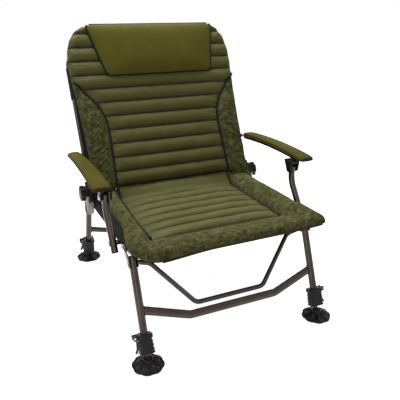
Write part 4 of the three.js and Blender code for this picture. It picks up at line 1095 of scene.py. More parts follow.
def lever_form():
    """The cam lever between the collar's ears, with a curled tip."""
    pin_x = COLLAR_WIDTH / 2 + EAR_REACH / 2 + LEVER_PIN
    pin_z = COLLAR_LENGTH - EAR_HEIGHT / 2
    half = EAR_SLOT / 2 - FIT
    near = COLLAR_WIDTH / 2 + LEVER_GAP + LEVER_THICK / 2
    tip = pin_z - LEVER_LENGTH
    path = [
        (pin_x, 0, pin_z + EDGE), (pin_x, 0, pin_z - LEVER_HUB),
        (near - LEVER_LEAN, 0, pin_z - 3 * LEVER_HUB),
        (near, 0, tip + 2 * LEVER_HOOK), (near + LEVER_HOOK, 0, tip),
    ]
    section = rounded_box(half, LEVER_THICK / 2, LEVER_CORNER, 4)
    form = Form().add(sweep(rounded(path, LEVER_BEND), section, up=(1, 0, 0)))
    across = shift(pin_x, 0, pin_z) @ turn("X", 90)
    form.add(doubled([(0, -half), (LEVER_HUB - EDGE, -half), (LEVER_HUB, EDGE - half)]), across)
    reach = EAR_WIDTH / 2
    head = LEVER_PIN * 1.6
    end = -reach - EDGE
    pin = doubled([(0, end), (head, end), (head, -reach), (LEVER_PIN, -reach)], 20)
    form.add(pin, across, 1)
    for step in range(LEVER_RIBS):
        rib = box(LEVER_RIB[0], half * 1.4, *LEVER_RIB[1:])
        height = pin_z - LEVER_RIB_DROP - LEVER_RIB_PITCH * step
        form.add(rib, shift(near + LEVER_THICK / 2, 0, height))
    return form


def foot_form():
    """A mud foot: a scalloped rubber dish with raised folds and a socket for its ball."""
    def shape(share, height, angle):
        fold = 0.5 - 0.5 * math.cos(FOOT_FOLDS * angle)
        outward = min(1, max(0, (share - 0.32) / 0.6))
        upper = height > FOOT_EDGE * 0.7 and share > 0.34
        lift = FOOT_RIB * (1 - fold) ** 2.2 * math.sin(math.pi * outward) if upper else 0
        sink = FOOT_SINK * fold * outward if upper and share < 0.9 else 0
        return FOOT * share * (1 - 0.055 * fold ** 2 * outward), height + lift - sink

    form = Form().add(waved(FOOT_PROFILE, 128, shape))
    section = rounded_box(*FOOT_SPOKE_HALVES, 0.9, 3)
    for index in range(FOOT_FOLDS):
        spoke = sweep(FOOT_SPOKE, section, up=(0, 0, 1), scales=[1.1, 1.1, 1, 0.7])
        form.add(spoke, turn("Z", 360 * index / FOOT_FOLDS))
    return form


def leg_form(facts):
    """A leg tube and the two plates that hang it on the seat tube, on the right side."""
    top, bottom, axis = facts["top"], facts["bottom"], facts["axis"]
    tube = sweep([(0, 0, bottom), (0, 0, top)], circle(LEG))
    form = Form().add(tube, shift(SEAT_HALF, axis, 0))
    form.add(end_plug(LEG), shift(SEAT_HALF, axis, top), 2)
    corners = [(axis - LEG, top - FIT), (axis + LEG, top - FIT)]
    for side in (-1, 1):
        middle = axis + side * (LEG - PLATE_CORNER)
        corners += disc_points(middle, PLATE_CORNER - PLATE_REACH, PLATE_CORNER, 16)
    outline = hull(disc_points(0, 0, PLATE_EYE) + corners)
    inner = BRACE_REACH + FIT
    outer = SEAT_HALF + TUBE + FIT
    for start in (inner, outer):
        form.add(slab(outline, PLATE, PLATE_ROUND, 2), plate_at(start))
    for drop in (top - RIVET_INSET, RIVET_INSET - PLATE_REACH):
        form.add(bolt(*RIVET), along_x(outer + PLATE, axis, drop), 1)
        form.add(bolt(*RIVET), along_x(inner, axis, drop, -90), 1)
    return form


def inner_leg_form(facts):
    radius = LEG - TUBE_WALL - INNER_LEG_ROOM
    end = facts["ball"] + BALL + FIT - facts["bottom"]
    shoulder = [(NECK + out, height) for out, height in INNER_SHOULDER]
    return Form().add(turned([
        (0, end), (NECK, end), *shoulder, (radius - EDGE, -INNER_LEG_ROOM - EDGE), (radius, -FIT),
        (radius, INNER_LEG_LENGTH - EDGE), (radius - EDGE, INNER_LEG_LENGTH), (0, INNER_LEG_LENGTH),
    ]))


def ball_form():
    profile = [(0, -BALL)]
    for step in range(1, BALL_STEPS):
        angle = math.radians(180 * step / BALL_STEPS - 90)
        profile.append((BALL * math.cos(angle), BALL * math.sin(angle)))
    seat = BALL + FIT / 2
    return Form().add(turned(profile + [(NECK * 0.9, BALL * 0.93), (NECK * 0.9, seat), (0, seat)]))


def build_crossbar(facts):
    """The bent oval bar between the legs of a set, with its welds."""
    axis = facts["axis"]
    end = SEAT_HALF - LEG * 0.6
    slope = (BAR_MIDDLE_DROP - BAR_END_DROP) / (SEAT_HALF - BAR_HALF_FLAT)
    end_drop = BAR_END_DROP + slope * (SEAT_HALF - end)
    half = [(-end, axis, -end_drop), (-BAR_HALF_FLAT, axis, -BAR_MIDDLE_DROP)]
    path = rounded(both_sides(half), BAR_BEND)
    bar = Form().add(sweep(path, oval(BAR_DEPTH, BAR_HEIGHT), up=(0, 0, 1)))
    bead = turned([
        (0, 0), (BAR_DEPTH * 0.62, 0), (BAR_DEPTH * 0.66, CUT), (BAR_DEPTH * 0.55, WELD), (0, WELD),
    ])
    stretch = Matrix.Diagonal((BAR_HEIGHT / BAR_DEPTH, 1, 1, 1))
    for _, side in SIDES:
        weld = (side * (SEAT_HALF - LEG + WELD_SINK), axis, -BAR_END_DROP - slope * LEG)
        bar.add(bead, along_x(*weld, -90 * side) @ stretch)
    make_piece(f"{facts['name']}_crossbar_tube", bar, [paint], facts["body"],
               f"{facts['name']}_leg_crossbar", facts["place"])


def build_brace(facts):
    """The bent bar that joins the front legs in a wide U."""
    axis = facts["axis"]
    knee = (BRACE_KNEE_SPAN, axis + BRACE_KNEE_SETBACK, -BRACE_KNEE_DROP)
    flat = (BRACE_HALF_FLAT, axis + BRACE_SETBACK, -BRACE_DROP)
    share = (SEAT_HALF - BRACE_REACH) / (SEAT_HALF - BRACE_KNEE_SPAN)
    head = Vector((SEAT_HALF, axis, -BRACE_TOP_DROP)).lerp(Vector(knee), share)
    path = rounded(both_sides([tuple(head), knee, flat]), BRACE_BEND)
    brace = Form().add(sweep(path, circle(BRACE)))
    make_piece("front_brace_tube", brace, [paint], facts["body"], "front_leg_brace", facts["place"])


def build_leg(facts, side_name, side):
    """One leg of a set with its collar, lever, inner tube, ball and foot."""
    tag = f"{facts['name']}_{side_name}"
    place = facts["place"] @ mirrored(side)
    end = place @ shift(SEAT_HALF, facts["axis"], facts["bottom"])
    ball = joint_place(f"ball_pitch_{tag}")
    ground = shift(ball.x, ball.y, 0) @ turn("Z", 180 / FOOT_FOLDS)
    legs = facts["body"]
    rows = (
        (f"outer_leg_{tag}", leg_form(facts), [paint, steel, black], legs, f"leg_{tag}", place),
        (f"collar_{tag}", collar_form(), [grip], legs, f"leg_collar_{tag}", end),
        (f"cam_lever_{tag}", lever_form(), [grip, steel], f"lever_{tag}", f"clamp_lever_{tag}", end),
        (f"inner_tube_{tag}", inner_leg_form(facts), [dark_steel], f"inner_{tag}",
         f"inner_leg_{tag}", end),
        (f"ball_{tag}_body", ball_form(), [black], f"ball_{tag}", f"foot_ball_{tag}", shift(*ball)),
        (f"foot_{tag}_body", foot_form(), [rubber], f"foot_{tag}", f"mud_foot_{tag}", ground),
    )
    for row in rows:
        make_piece(*row)


def build_leg_set(name, sign, inset):
    facts = leg_facts(name, sign, inset)
    build_crossbar(facts)
    if sign < 0:
        build_brace(facts)
    pivot = facts["place"].translation
    for side_name, side in SIDES:
        build_leg(facts, side_name, side)
        screw = cross_bolt(BRACE_REACH, SEAT_HALF + TUBE + 2 * FIT + PLATE)
        make_piece(f"{name}_pivot_screw_{side_name}", screw, [steel], "seat",
                   f"{name}_pivot_bolt_{side_name}", shift(0, pivot.y, pivot.z) @ mirrored(side))


# Arms

def arm_floor(share):
    """Height of the pad's underside above the post's top pivot."""
    across = 2 * share - 1
    return ARM_FLOOR + ARM_ARCH * (1 - across * across)


def pad_ring(share):
    """The arm pad's outline at a share of its length, from its front."""
    end = min(share / 0.05, (1 - share) / 0.045, 1)
    fullness = math.sqrt(max(0, 1 - (1 - end) ** 2))
    wide = PAD_FRONT_WIDTH + (PAD_REAR_WIDTH - PAD_FRONT_WIDTH) * share
    half_width = wide / 2 * (0.76 + 0.24 * fullness)
    height = PAD_HEIGHT * (0.5 + 0.5 * fullness)
    middle = arm_floor(share) + PAD_HEIGHT * 0.42
    ring = []
    for x, z in circle(1, 64):
        wide_x = math.copysign(abs(x) ** 0.62, x)
        up = math.copysign(abs(z) ** 0.8, z) * height * (0.58 if z > 0 else 0.42)
        seam = PAD_SEAM * math.exp(-((z + 0.12) / 0.07) ** 2) if abs(x) > 0.5 else 0
        dish = PAD_DISH * (1 - wide_x ** 2) * math.sin(math.pi * share) if z > 0 else 0
        ring.append((wide_x * half_width + math.copysign(seam, x) * fullness,
                     PAD_LENGTH * share - PAD_FRONT, middle + up - dish))
    return ring


def build_arms():
    foot = SEAT @ Vector((0, POST_PIVOT, 0))
    link = Vector((0, ARM_LINK_BACK, ARM_LINK_RISE))
    top = foot + link
    rear = Vector((0, RECLINE.y, RECLINE.z)) + link
    knee = foot + Vector((0, POST_KNEE_BACK, POST_KNEE_RISE))
    tail = foot - (knee - foot).normalized() * POST_TAIL
    head = top + (top - knee).normalized() * POST_TOP
    path = rounded([tail, knee, head], POST_BEND)
    levels = range(PAD_LEVELS + 1)
    shares = [0.5 - 0.5 * math.cos(math.pi * level / PAD_LEVELS) for level in levels]

    for name, side in SIDES:
        flip = mirrored(side)
        own = flip @ shift(0, top.y, top.z)
        arm = f"arm_{name}"
        post = Form().add(sweep(path, circle(TUBE)), shift(POST_HALF, 0, 0))
        for mouth in (tail, head):
            away = (mouth - knee).normalized()
            aim = Vector((0, 0, 1)).rotation_difference(away).to_matrix().to_4x4()
            post.add(end_plug(TUBE), shift(POST_HALF, mouth.y, mouth.z) @ aim, 1)
        make_piece(f"post_tube_{name}", post, [paint, black], f"post_{name}", f"arm_post_{name}", flip)
        make_piece(f"bracket_{name}", bracket_form(), [black, steel], arm,
                   f"arm_bracket_{name}", own)
        make_piece(f"rail_{name}", rail_form(rear - top), [black], arm, f"arm_rail_{name}", own)
        pad = Form().add(loft([pad_ring(share) for share in shares]), shift(PAD_CENTRE, 0, 0))
        cover = make_piece(f"armrest_{name}", pad, [arm_skin], arm, f"arm_pad_{name}", own, 60)
        make_piece(f"post_screw_{name}", post_screw_form(), [steel, black], "seat",
                   f"post_bolt_{name}", flip @ shift(0, foot.y, foot.z))
        make_piece(f"stud_{name}", stud_form(), [steel], "back",
                   f"arm_stud_{name}", flip @ shift(0, rear.y, rear.z))


def bracket_form():
    """Two cheeks beside the post's top and a crown over it, with the pin they hang on."""
    roof = arm_floor(ROOF_SHARE) - RAIL_THICK - 2 * FIT
    nose = [
        (-BRACKET_FRONT, roof), (BRACKET_REAR, roof), (-BRACKET_FRONT, roof - BRACKET_NOSE),
    ]
    cheek = hull(disc_points(0, 0, BRACKET_EYE) + nose)
    slot_roof = math.hypot(POST_TOP, TUBE) + BRACKET_ROOM
    crown = hull(nose + [(-BRACKET_FRONT * 0.6, slot_roof), (BRACKET_REAR * 0.5, slot_roof)])
    thick = BRACKET_WIDTH / 2 - TUBE - EDGE
    outer = POST_HALF - BRACKET_WIDTH / 2
    form = Form()
    for start in (outer, POST_HALF + TUBE + EDGE):
        form.add(slab(cheek, thick, BRACKET_ROUND), plate_at(start))
    form.add(slab(crown, BRACKET_WIDTH - thick, EDGE), plate_at(outer + thick / 2))
    return form.add(bolt(BRACKET_WIDTH, *BRACKET_PIN), along_x(outer), 1)


def rail_form(rear):
    """The arched rail under the pad, and the eye at its rear end."""
    path = []
    for step in range(RAIL_STEPS + 1):
        share = ROOF_SHARE + (1 - ROOF_SHARE) * step / RAIL_STEPS
        height = arm_floor(share) - FIT - RAIL_THICK / 2
        path.append((RAIL_CENTRE, PAD_LENGTH * share - PAD_FRONT, height))
    section = rounded_box(RAIL_WIDTH / 2, RAIL_THICK / 2, RAIL_ROUND, 4)
    form = Form().add(sweep(path, section, up=(0, 0, 1)))
    end = PAD_REAR + FIT
    eye = hull(disc_points(rear.y, rear.z, RAIL_EYE) + [
        (end, arm_floor(1) + PAD_HEIGHT * 0.55), (end, arm_floor(1) - RAIL_THICK)])
    return form.add(slab(eye, RAIL_WIDTH, CHAMFER), plate_at(RAIL_CENTRE - RAIL_WIDTH / 2))


def post_screw_form():
    """The bolt through the seat tube and the post, with the spacer between them."""
    start = SEAT_HALF + TUBE + FIT
    half = (POST_HALF - TUBE - FIT - start) / 2
    spacer = doubled([(0, -half), (POST_SPACER - EDGE, -half), (POST_SPACER, EDGE - half)])
    form = cross_bolt(SEAT_HALF - TUBE - FIT, POST_HALF + TUBE + FIT)
    return form.add(spacer, along_x(start + half), 1)


def stud_form():
    """The stud on the back tube, with the collar that the arm rail turns beside."""
    start = BACK_HALF + TUBE + 2 * FIT
    length = RAIL_CENTRE - RAIL_WIDTH / 2 - FIT - start
    collar = turned([(0, 0), (STUD_COLLAR, 0), (STUD_COLLAR, length), (0, length)])
    form = Form().add(collar, along_x(start))
    return form.add(bolt(RAIL_CENTRE + RAIL_WIDTH / 2 + FIT - start), along_x(start))


# Cloth

def ripple(x, y, length, seed, waves=14):
    """Smooth uneven waves of about one length and about 1 high, the same on every run."""
    random = np.random.default_rng(seed)
    total = np.zeros(np.broadcast(x, y).shape)
    for _ in range(waves):
        angle = random.uniform(0, 2 * math.pi)
        size = random.uniform(0.7, 1.5)
        phase = random.uniform(0, 2 * math.pi)
        along = (x * math.cos(angle) + y * math.sin(angle)) * 2 * math.pi * size / length
        total += np.sin(along + phase)
    return total / math.sqrt(waves)


def ripples(x, y, *rows):
    """Waves laid over each other, from rows of height, length and seed."""
    return sum(height * ripple(x, y, length, seed) for height, length, seed in rows)


def stations(knots, step):
    """Places from knot to knot, with an even number of steps in each span."""
    places = [knots[0]]
    for start, end in zip(knots, knots[1:]):
        count = 2 * max(1, round(abs(end - start) / step / 2))
        places += list(np.linspace(start, end, count + 1)[1:])
    return np.array(places)


def grid_ids(shape):
    return np.arange(shape[0] * shape[1]).reshape(shape[:2])


def grid_faces(ids):
    corners = (ids[:-1, :-1], ids[:-1, 1:], ids[1:, 1:], ids[1:, :-1])
    return np.stack([corner.ravel() for corner in corners], axis=1)


def smooth_step(value, low, high):
    share = np.clip((value - low) / (high - low), 0, 1)
    return share * share * (3 - 2 * share)


def edge_rise(inside, roundness):
    share = np.clip(inside / roundness, 0, 1)
    return np.sqrt(1 - (1 - share) ** 2)


def fall_off(share, power):
    """1 at a share of 0 and below, 0 at 1 and above, round as a pressed edge between."""
    return np.sqrt(np.clip(1 - np.clip(share, 0, 1) ** power, 0, 1))


def near_seam(distance, width):
    return np.exp(-(distance / width) ** 2)


def eased(place, seam, edge):
    """Places beyond a seam, drawn closer together towards the edge."""
    share = np.clip((place - seam) / (edge - seam), 0, 1)
    return np.where(share > 0, seam + (edge - seam) * np.sin(np.pi / 2 * share), place)


def spread(column, panel, panel_half, half):
    """Places across a mattress, closer together at its edge, and their share of the bolster."""
    outer = np.clip((np.abs(column) - panel) / (1 - panel), 0, 1)
    width = panel_half + (half - panel_half) * np.sin(np.pi / 2 * outer)
    inner = np.abs(column) / panel * panel_half
    return np.sign(column) * np.where(outer > 0, width, inner), outer


def puckers(x, along, panel_half, row):
    """Short folds that run in from the panel's side seams."""
    return near_seam(panel_half - np.abs(x), PUCKER_REACH) * ripples(x * 0.3, along, row)


def border(shape):
    """1 on the two outermost rows and columns of a grid, and 0 inside."""
    held = np.ones(shape)
    held[2:-2, 2:-2] = 0
    return held


def on_seam(place, start, pitch):
    return np.isclose(channel_rise(place, start, pitch), 0, atol=0.02)


def channel_rise(place, start, pitch):
    """0 on the seams between the channels and 1 on their tops."""
    return np.abs(np.sin(np.pi * (place - start) / pitch)) ** CHANNEL_POWER


def place_grid(matrix, x, y, z):
    """World places, in metres, of a grid given in one plane's millimetres."""
    points = np.stack([x, y, z], axis=-1)
    turned_points = points @ np.array(matrix.to_3x3()).T
    return (turned_points + np.array(matrix.translation)) * MM


def hold(trial, name, weights):
    """A vertex group with a weight for every point."""
    group = trial.vertex_groups.new(name=name)
    weights = np.round(weights.ravel(), 2)
    for weight in np.unique(weights):
        chosen = np.nonzero(weights == weight)[0]
        group.add(chosen.tolist(), float(weight), "REPLACE")


def swell(face, held, loose, facts):
    """A face with its cloth pressed out between the held points by a simulation.

    Where it is loose the cloth is a little larger than its cut, so it crumples there.
    """
    pressure, slack, cap = facts
    coarse = face[::2, ::2]
    faces = grid_faces(grid_ids(coarse.shape)).tolist()
    trial = make_object("cloth_trial", coarse.reshape(-1, 3).tolist(), faces, [], [0] * len(faces))
    hold(trial, "held", held[::2, ::2])
    hold(trial, "loose", loose[::2, ::2])
    cloth = trial.modifiers.new("cloth", "CLOTH")
    for name, value in CLOTH_FACTS.items():
        setattr(cloth.settings, name, value)
    cloth.settings.uniform_pressure_force = pressure
    cloth.settings.shrink_max = -slack
    cloth.settings.effector_weights.gravity = 0
    cloth.point_cache.frame_start = 1
    cloth.point_cache.frame_end = SIMULATION_FRAMES
    cloth.collision_settings.use_collision = False
    scene = bpy.context.scene
    for number in range(1, SIMULATION_FRAMES + 1):
        scene.frame_set(number)
    posed = trial.evaluated_get(bpy.context.evaluated_depsgraph_get())
    places = np.array([tuple(vert.co) for vert in posed.data.vertices])
    bpy.data.objects.remove(trial)
    scene.frame_set(1)
    move = places.reshape(coarse.shape) - coarse
    size = np.linalg.norm(move, axis=-1, keepdims=True)
    limit = cap * MM
    return face + finer(move * limit / np.maximum(limit, size), face.shape)


def finer(coarse, shape):
    """Values at every place of a grid, from those at every second one."""
    fine = np.zeros(shape)
    fine[::2, ::2] = coarse
    fine[1::2, ::2] = (fine[:-1:2, ::2] + fine[2::2, ::2]) / 2
    fine[:, 1::2] = (fine[:, :-1:2] + fine[:, 2::2]) / 2
    return fine


def seam_shade(place, seams):
    """1 on a seam and 0 away from it, for the painted shade that lies in its fold."""
    nearest = np.min([np.abs(place - seam) for seam in seams], axis=0)
    return 0.7 * near_seam(nearest, SEAM_WIDTH) + 0.3 * near_seam(nearest, SEAM_SHADE)


def both_faces(face, back, width):
    """Values of a cushion's face, then of its back without the edge that they share."""
    inside = back[1:-1, 1:-1].reshape(-1, width)
    return np.concatenate([face.reshape(-1, width), inside])


def make_cushion(name, face, back, cut, zones, shade, looks, body, node):
    """A closed cushion from its face and its back, which meet at the edge."""
    ids = grid_ids(face.shape)
    back_ids = ids.copy()
    back_ids[1:-1, 1:-1] = ids.size + grid_ids(ids[1:-1, 1:-1].shape)
    faces = np.concatenate([grid_faces(ids), grid_faces(back_ids)[:, ::-1]])
    underside = np.full(zones.size, len(looks) - 1)
    slots = np.concatenate([zones.ravel(), underside])
    piece = make_object(name, both_faces(face, back, 3).tolist(), faces.tolist(), looks, slots)
    # The fold attribute carries the painted seam shade to the cloth looks
    folds = piece.data.attributes.new("fold", "FLOAT", "POINT")
    folds.data.foreach_set("value", both_faces(shade, shade, 1).ravel())
    layer = piece.data.uv_layers.new(name="cut")
    layer.data.foreach_set("uv", (both_faces(cut, cut, 2)[faces.ravel()] * MM).ravel())
    settle(piece, body, node)
    return piece


def make_cord(name, path, radius, body, look=piping_cloth):
    """Piping or binding sewn along a seam."""
    form = Form().add(sweep(path, circle(radius, 14)))
    return make_piece(name, form, [look], body, "", PLANES[body], 60)


def between(start, end, share):
    return start + (end - start) * share


def by_side(x, pair):
    return np.where(x < 0, pair[0], pair[1])


def corner_loss(inside, radius):
    """What a rounded corner takes off the width, at a distance inside its end."""
    depth = np.clip(radius - inside, 0, radius)
    return radius - np.sqrt(radius ** 2 - depth ** 2)


def sag(x, half_span):
    """How far a sling hangs below its tubes."""
    return SLING_SAG * np.clip(1 - np.abs(x / (half_span - TUBE)) ** 2.6, 0, 1)


# Seat mattress

def seat_panel_half(x, d):
    taper = by_side(x, SEAT_PANEL_TAPERS) * smooth_step(d, SEAT_TAPER_START, SEAT_PAD_END)
    return by_side(x, SEAT_PANEL_HALVES) - taper


def seat_straight_half(x, d):
    """Half the width but for its corners, flared at the right front and narrow at the left rear."""
    flare = by_side(x, (0, SEAT_FLARE)) * smooth_step(-d, -SEAT_FLARE_START, SEAT_PAD_FRONT)
    tuck = by_side(x, (SEAT_PAD_TUCK, 0)) * smooth_step(d, *SEAT_TUCK_SPAN)
    return SEAT_PAD_HALF + flare - tuck


def seat_half_width(x, d):
    front = corner_loss(d + SEAT_PAD_FRONT, by_side(x, SEAT_PAD_CORNERS))
    return seat_straight_half(x, d) - front - corner_loss(SEAT_PAD_END - d, SEAT_REAR_CORNER)


def seat_bolster_share(x, d):
    """0 at the panel's seams and 1 at the mattress's outer edge, smooth round its corners."""
    aside = np.clip(np.abs(x) - seat_panel_half(x, d), 0, None)
    inner = np.hypot(aside, np.clip(SEAT_PANEL_FRONT - d, 0, None))
    corner = by_side(x, SEAT_PAD_CORNERS)
    across = np.abs(x) - (seat_straight_half(x, d) - corner)
    ahead = (corner - SEAT_PAD_FRONT) - d
    outside = np.hypot(np.clip(across, 0, None), np.clip(ahead, 0, None))
    outer = corner - outside - np.minimum(np.maximum(across, ahead), 0)
    return inner / np.maximum(inner + np.clip(outer, 0, None), TINY)


def seat_frontness(x, d):
    """1 in the front bolster, 0 in the side bolsters, and between them round the corner."""
    ahead = np.clip(SEAT_PANEL_FRONT - d, 0, None)
    aside = np.clip(np.abs(x) - seat_panel_half(x, d), 0, None)
    return smooth_step(ahead / np.maximum(ahead + aside, TINY), 0.1, 0.9)


def seat_low(x, d):
    """Height of the mattress's outer edge."""
    low_front = SEAT_LOW_FRONT - SEAT_CORNER_DROP * smooth_step(-x, *SEAT_DROP_SPAN)
    return between(SEAT_LOW_SIDE, low_front, seat_frontness(x, d))


def seat_level(d):
    """Height of the seat's own level over its tubes, which fall towards the rear."""
    return d * math.tan(math.radians(SEAT_FALL))


def seat_height(x, d):
    """Height of the mattress's face above the plane of the seat tubes."""
    share = seat_bolster_share(x, d)
    front = seat_frontness(x, d)
    low = seat_low(x, d)
    roll = between(SEAT_SIDE_BOLSTER, SEAT_FRONT_BOLSTER, front)
    crest = between(SEAT_SIDE_CREST, SEAT_FRONT_CREST, front)
    rising = SEAT_SEAM + roll * np.sin(np.pi / 2 * np.clip(share / crest, 0, 1)) ** 0.75
    falling = between(low, SEAT_SEAM + roll, fall_off((share - crest) / (1 - crest), 2.8))
    bolster = np.where(share < crest, rising, falling)
    last = SEAT_PANEL_FRONT + SEAT_CHANNELS * SEAT_PITCH
    channel = channel_rise(np.minimum(d, last), SEAT_PANEL_FRONT, SEAT_PITCH)
    channel = channel + channel_rise(np.maximum(d, last), last, 2 * (SEAT_PAD_END - last))
    crown = SEAT_CROWN * smooth_step(d, SEAT_PANEL_FRONT, SEAT_PANEL_FRONT + SEAT_PITCH)
    fade = 1 - np.clip(np.abs(x) / seat_panel_half(x, d), 0, 1) ** 5
    height = np.where(share > 0, bolster, SEAT_SEAM + (SEAT_CHANNEL * channel + crown) * fade)
    lift = smooth_step(d, SEAT_PAD_END - SEAT_LIP_LENGTH, SEAT_PAD_END)
    lift = lift * (1 - np.clip(share * 1.4, 0, 1))
    height = height + np.clip(SEAT_LIP - height, 0, None) * lift
    roundness = between(*SEAT_REAR_ROUND, np.clip(share * 1.5, 0, 1))
    rear = edge_rise(SEAT_PAD_END - d + SEAT_REAR_STAND, roundness)
    return seat_level(d) + between(SEAT_LOW_SIDE, height, rear)


def build_seat_mattress():
    shares = stations([-1, -SEAT_PANEL_SHARE, SEAT_PANEL_SHARE, 1], CLOTH_STEP / SEAT_PAD_HALF)
    seams = [SEAT_PANEL_FRONT + SEAT_PITCH * index for index in range(SEAT_CHANNELS + 1)]
    rows = stations([-SEAT_PAD_FRONT, *seams, SEAT_PAD_END], CLOTH_STEP)
    column, d = np.meshgrid(shares, rows)
    d = eased(eased(d, SEAT_PANEL_FRONT, -SEAT_PAD_FRONT), seams[-1], SEAT_PAD_END)
    panel_half = seat_panel_half(column, d)
    x, _ = spread(column, SEAT_PANEL_SHARE, panel_half, seat_half_width(column, d))
    height = seat_height(x, d)
    share = seat_bolster_share(x, d)
    panel = share <= 0

    soft = np.clip(share * 4, 0, 1) * np.clip((1 - share) * 4, 0, 1)
    height = height + soft * ripples(x, d, *SEAT_BOLSTER_RIPPLES)
    inside = panel * (1 - np.clip(np.abs(x) / panel_half, 0, 1) ** 8)
    height = height + inside * ripples(x, d * 0.4, SEAT_PANEL_RIPPLE)
    height = height + panel * puckers(x, d, panel_half, SEAT_PUCKER)

    held = border(x.shape)
    held[on_seam(d, SEAT_PANEL_FRONT, SEAT_PITCH) & (d < seams[-1] + 1) & panel] = 1
    held[np.isclose(np.abs(x), panel_half, atol=0.5)] = 1
    face = place_grid(SEAT, x, d, height)
    face = swell(face, held, np.clip(share * 5, 0, 1), SEAT_SWELL)

    rest = SLING_TOP - sag(x, SEAT_HALF) * smooth_step(d, *SEAT_SAG_SPAN)
    aside = np.clip(np.abs(x) - SEAT_HALF - TUBE - PAD_OVER_TUBE, 0, None)
    beyond = np.maximum(aside, np.clip(-d - TUBE - PAD_OVER_TUBE, 0, None))
    bottom = np.maximum(rest - beyond * 3, seat_low(x, d) + seat_level(d) - EDGE)
    back = place_grid(SEAT, x, d, np.minimum(bottom, height - PAD_LEAST))
    middle = (share[:-1, :-1] + share[1:, 1:] + share[:-1, 1:] + share[1:, :-1]) / 4
    # Painted shade along the channel seams, the rear hem and the panel's side seams
    shade = seam_shade(d, [*seams, SEAT_PAD_END]) * panel
    side_shade = seam_shade(np.abs(x) - panel_half, [0]) * (d > SEAT_PANEL_FRONT - SIDE_SHADE_START)
    zones = np.where(middle > 0.003, 1, 0)
    pieces = [make_cushion("seat_pad", face, back, np.stack([x, d], axis=-1), zones,
                           np.maximum(shade, side_shade), [satin, velour, sling_cloth],
                           "seat", "seat_mattress")]

    for name, side in SIDES:
        path = []
        front = SEAT_PANEL_FRONT - PIPING_OVERRUN
        for place in np.linspace(front, SEAT_PAD_END - PIPING_START, 90):
            px = side * float(seat_panel_half(side, place))
            rise = float(seat_height(px * 0.998, place)) + by_side(side, SEAT_PIPING_STANDS)
            path.append((px, float(place), float(rise)))
        pieces.append(make_cord(f"seat_piping_{name}", path, PIPING, "seat"))
    ends = zip(x[0], d[0], height[0])
    edge = [(float(a), float(b), float(c) - BINDING_DROP) for a, b, c in ends]
    pieces.append(make_cord("seat_binding", edge[4:-4], BINDING, "seat", binding_cloth))
    return pieces


# Back mattress

def back_half_width(x, s):
    share = (s - BACK_PAD_START) / (BACK_PAD_END - BACK_PAD_START)
    halves = [np.interp(share, OUTLINE_SHARES, table) for table in (LEFT_HALVES, RIGHT_HALVES)]
    return by_side(x, halves)


def back_panel_half(x, s):
    wing = np.interp((s - BACK_PAD_START) / BACK_WING_TOP, PANEL_SHARES, PANEL_HALVES)
    edge = back_half_width(x, s) - BACK_SIDE_BAND
    return np.where(s < BACK_WING_TOP, np.minimum(wing, edge), edge)


def over_housing(offset, s):
    """1 where the mattress passes in front of a hinge housing, and 0 away from it."""
    inner = BACK_HALF - HOUSING_WIDTH / 2
    above = smooth_step(s, HOUSING + COVER_ABOVE[0], HOUSING + COVER_ABOVE[1])
    return smooth_step(offset, inner - COVER_ASIDE[0], inner - COVER_ASIDE[1]) * (1 - above)


def back_rise(x, s):
    """How far the mattress's face stands in front of the plane of the back tubes."""
    half = back_half_width(x, s)
    panel_half = back_panel_half(x, s)
    offset = np.abs(x)
    winged = s < BACK_WING_TOP
    share = np.clip((offset - panel_half) / (half - panel_half), 0, 1)
    wing_width = np.clip((half - panel_half) / (LEFT_HALVES[4] - PANEL_HALVES[1]), 0, 1)
    top = BACK_SEAM + BACK_WING * wing_width
    rising = between(BACK_SEAM, top, np.sin(np.pi * np.clip(share, 0, 0.5)) ** 0.6)
    falling = between(BACK_EDGE, top, fall_off(2 * share - 1, 2.4))
    wing = np.where(share < 0.5, rising, falling)
    channel = BACK_CHANNEL * channel_rise(s, BACK_PAD_START, BACK_PITCH)
    fade = 1 - np.clip(offset / panel_half, 0, 1) ** 8
    panel = BACK_SEAM + channel * np.where(winged, fade, 1)
    full = between(BACK_EDGE, panel, np.where(winged, 1, edge_rise(half - offset, BACK_EDGE_ROUND)))
    rise = np.where((offset > panel_half) & winged, wing, full)
    ends = edge_rise(np.minimum(s - BACK_PAD_START, BACK_PAD_END - s), BACK_EDGE_ROUND)
    rise = between(BACK_EDGE, rise, ends)
    rise = np.maximum(rise, (HOUSING + HOUSING_COVER) * over_housing(offset, s))
    reach = pillow_half(x, s)
    under = smooth_step(s, PILLOW_START - PRESS_OUT, PILLOW_START + PRESS_IN)
    under = under * smooth_step(-offset, -reach - PRESS_IN, PRESS_OUT - reach)
    pressed = np.minimum(rise, between(rise, PILLOW_FLOOR - CLOTH_GAP, under))
    return np.where(under > 0, pressed, rise)


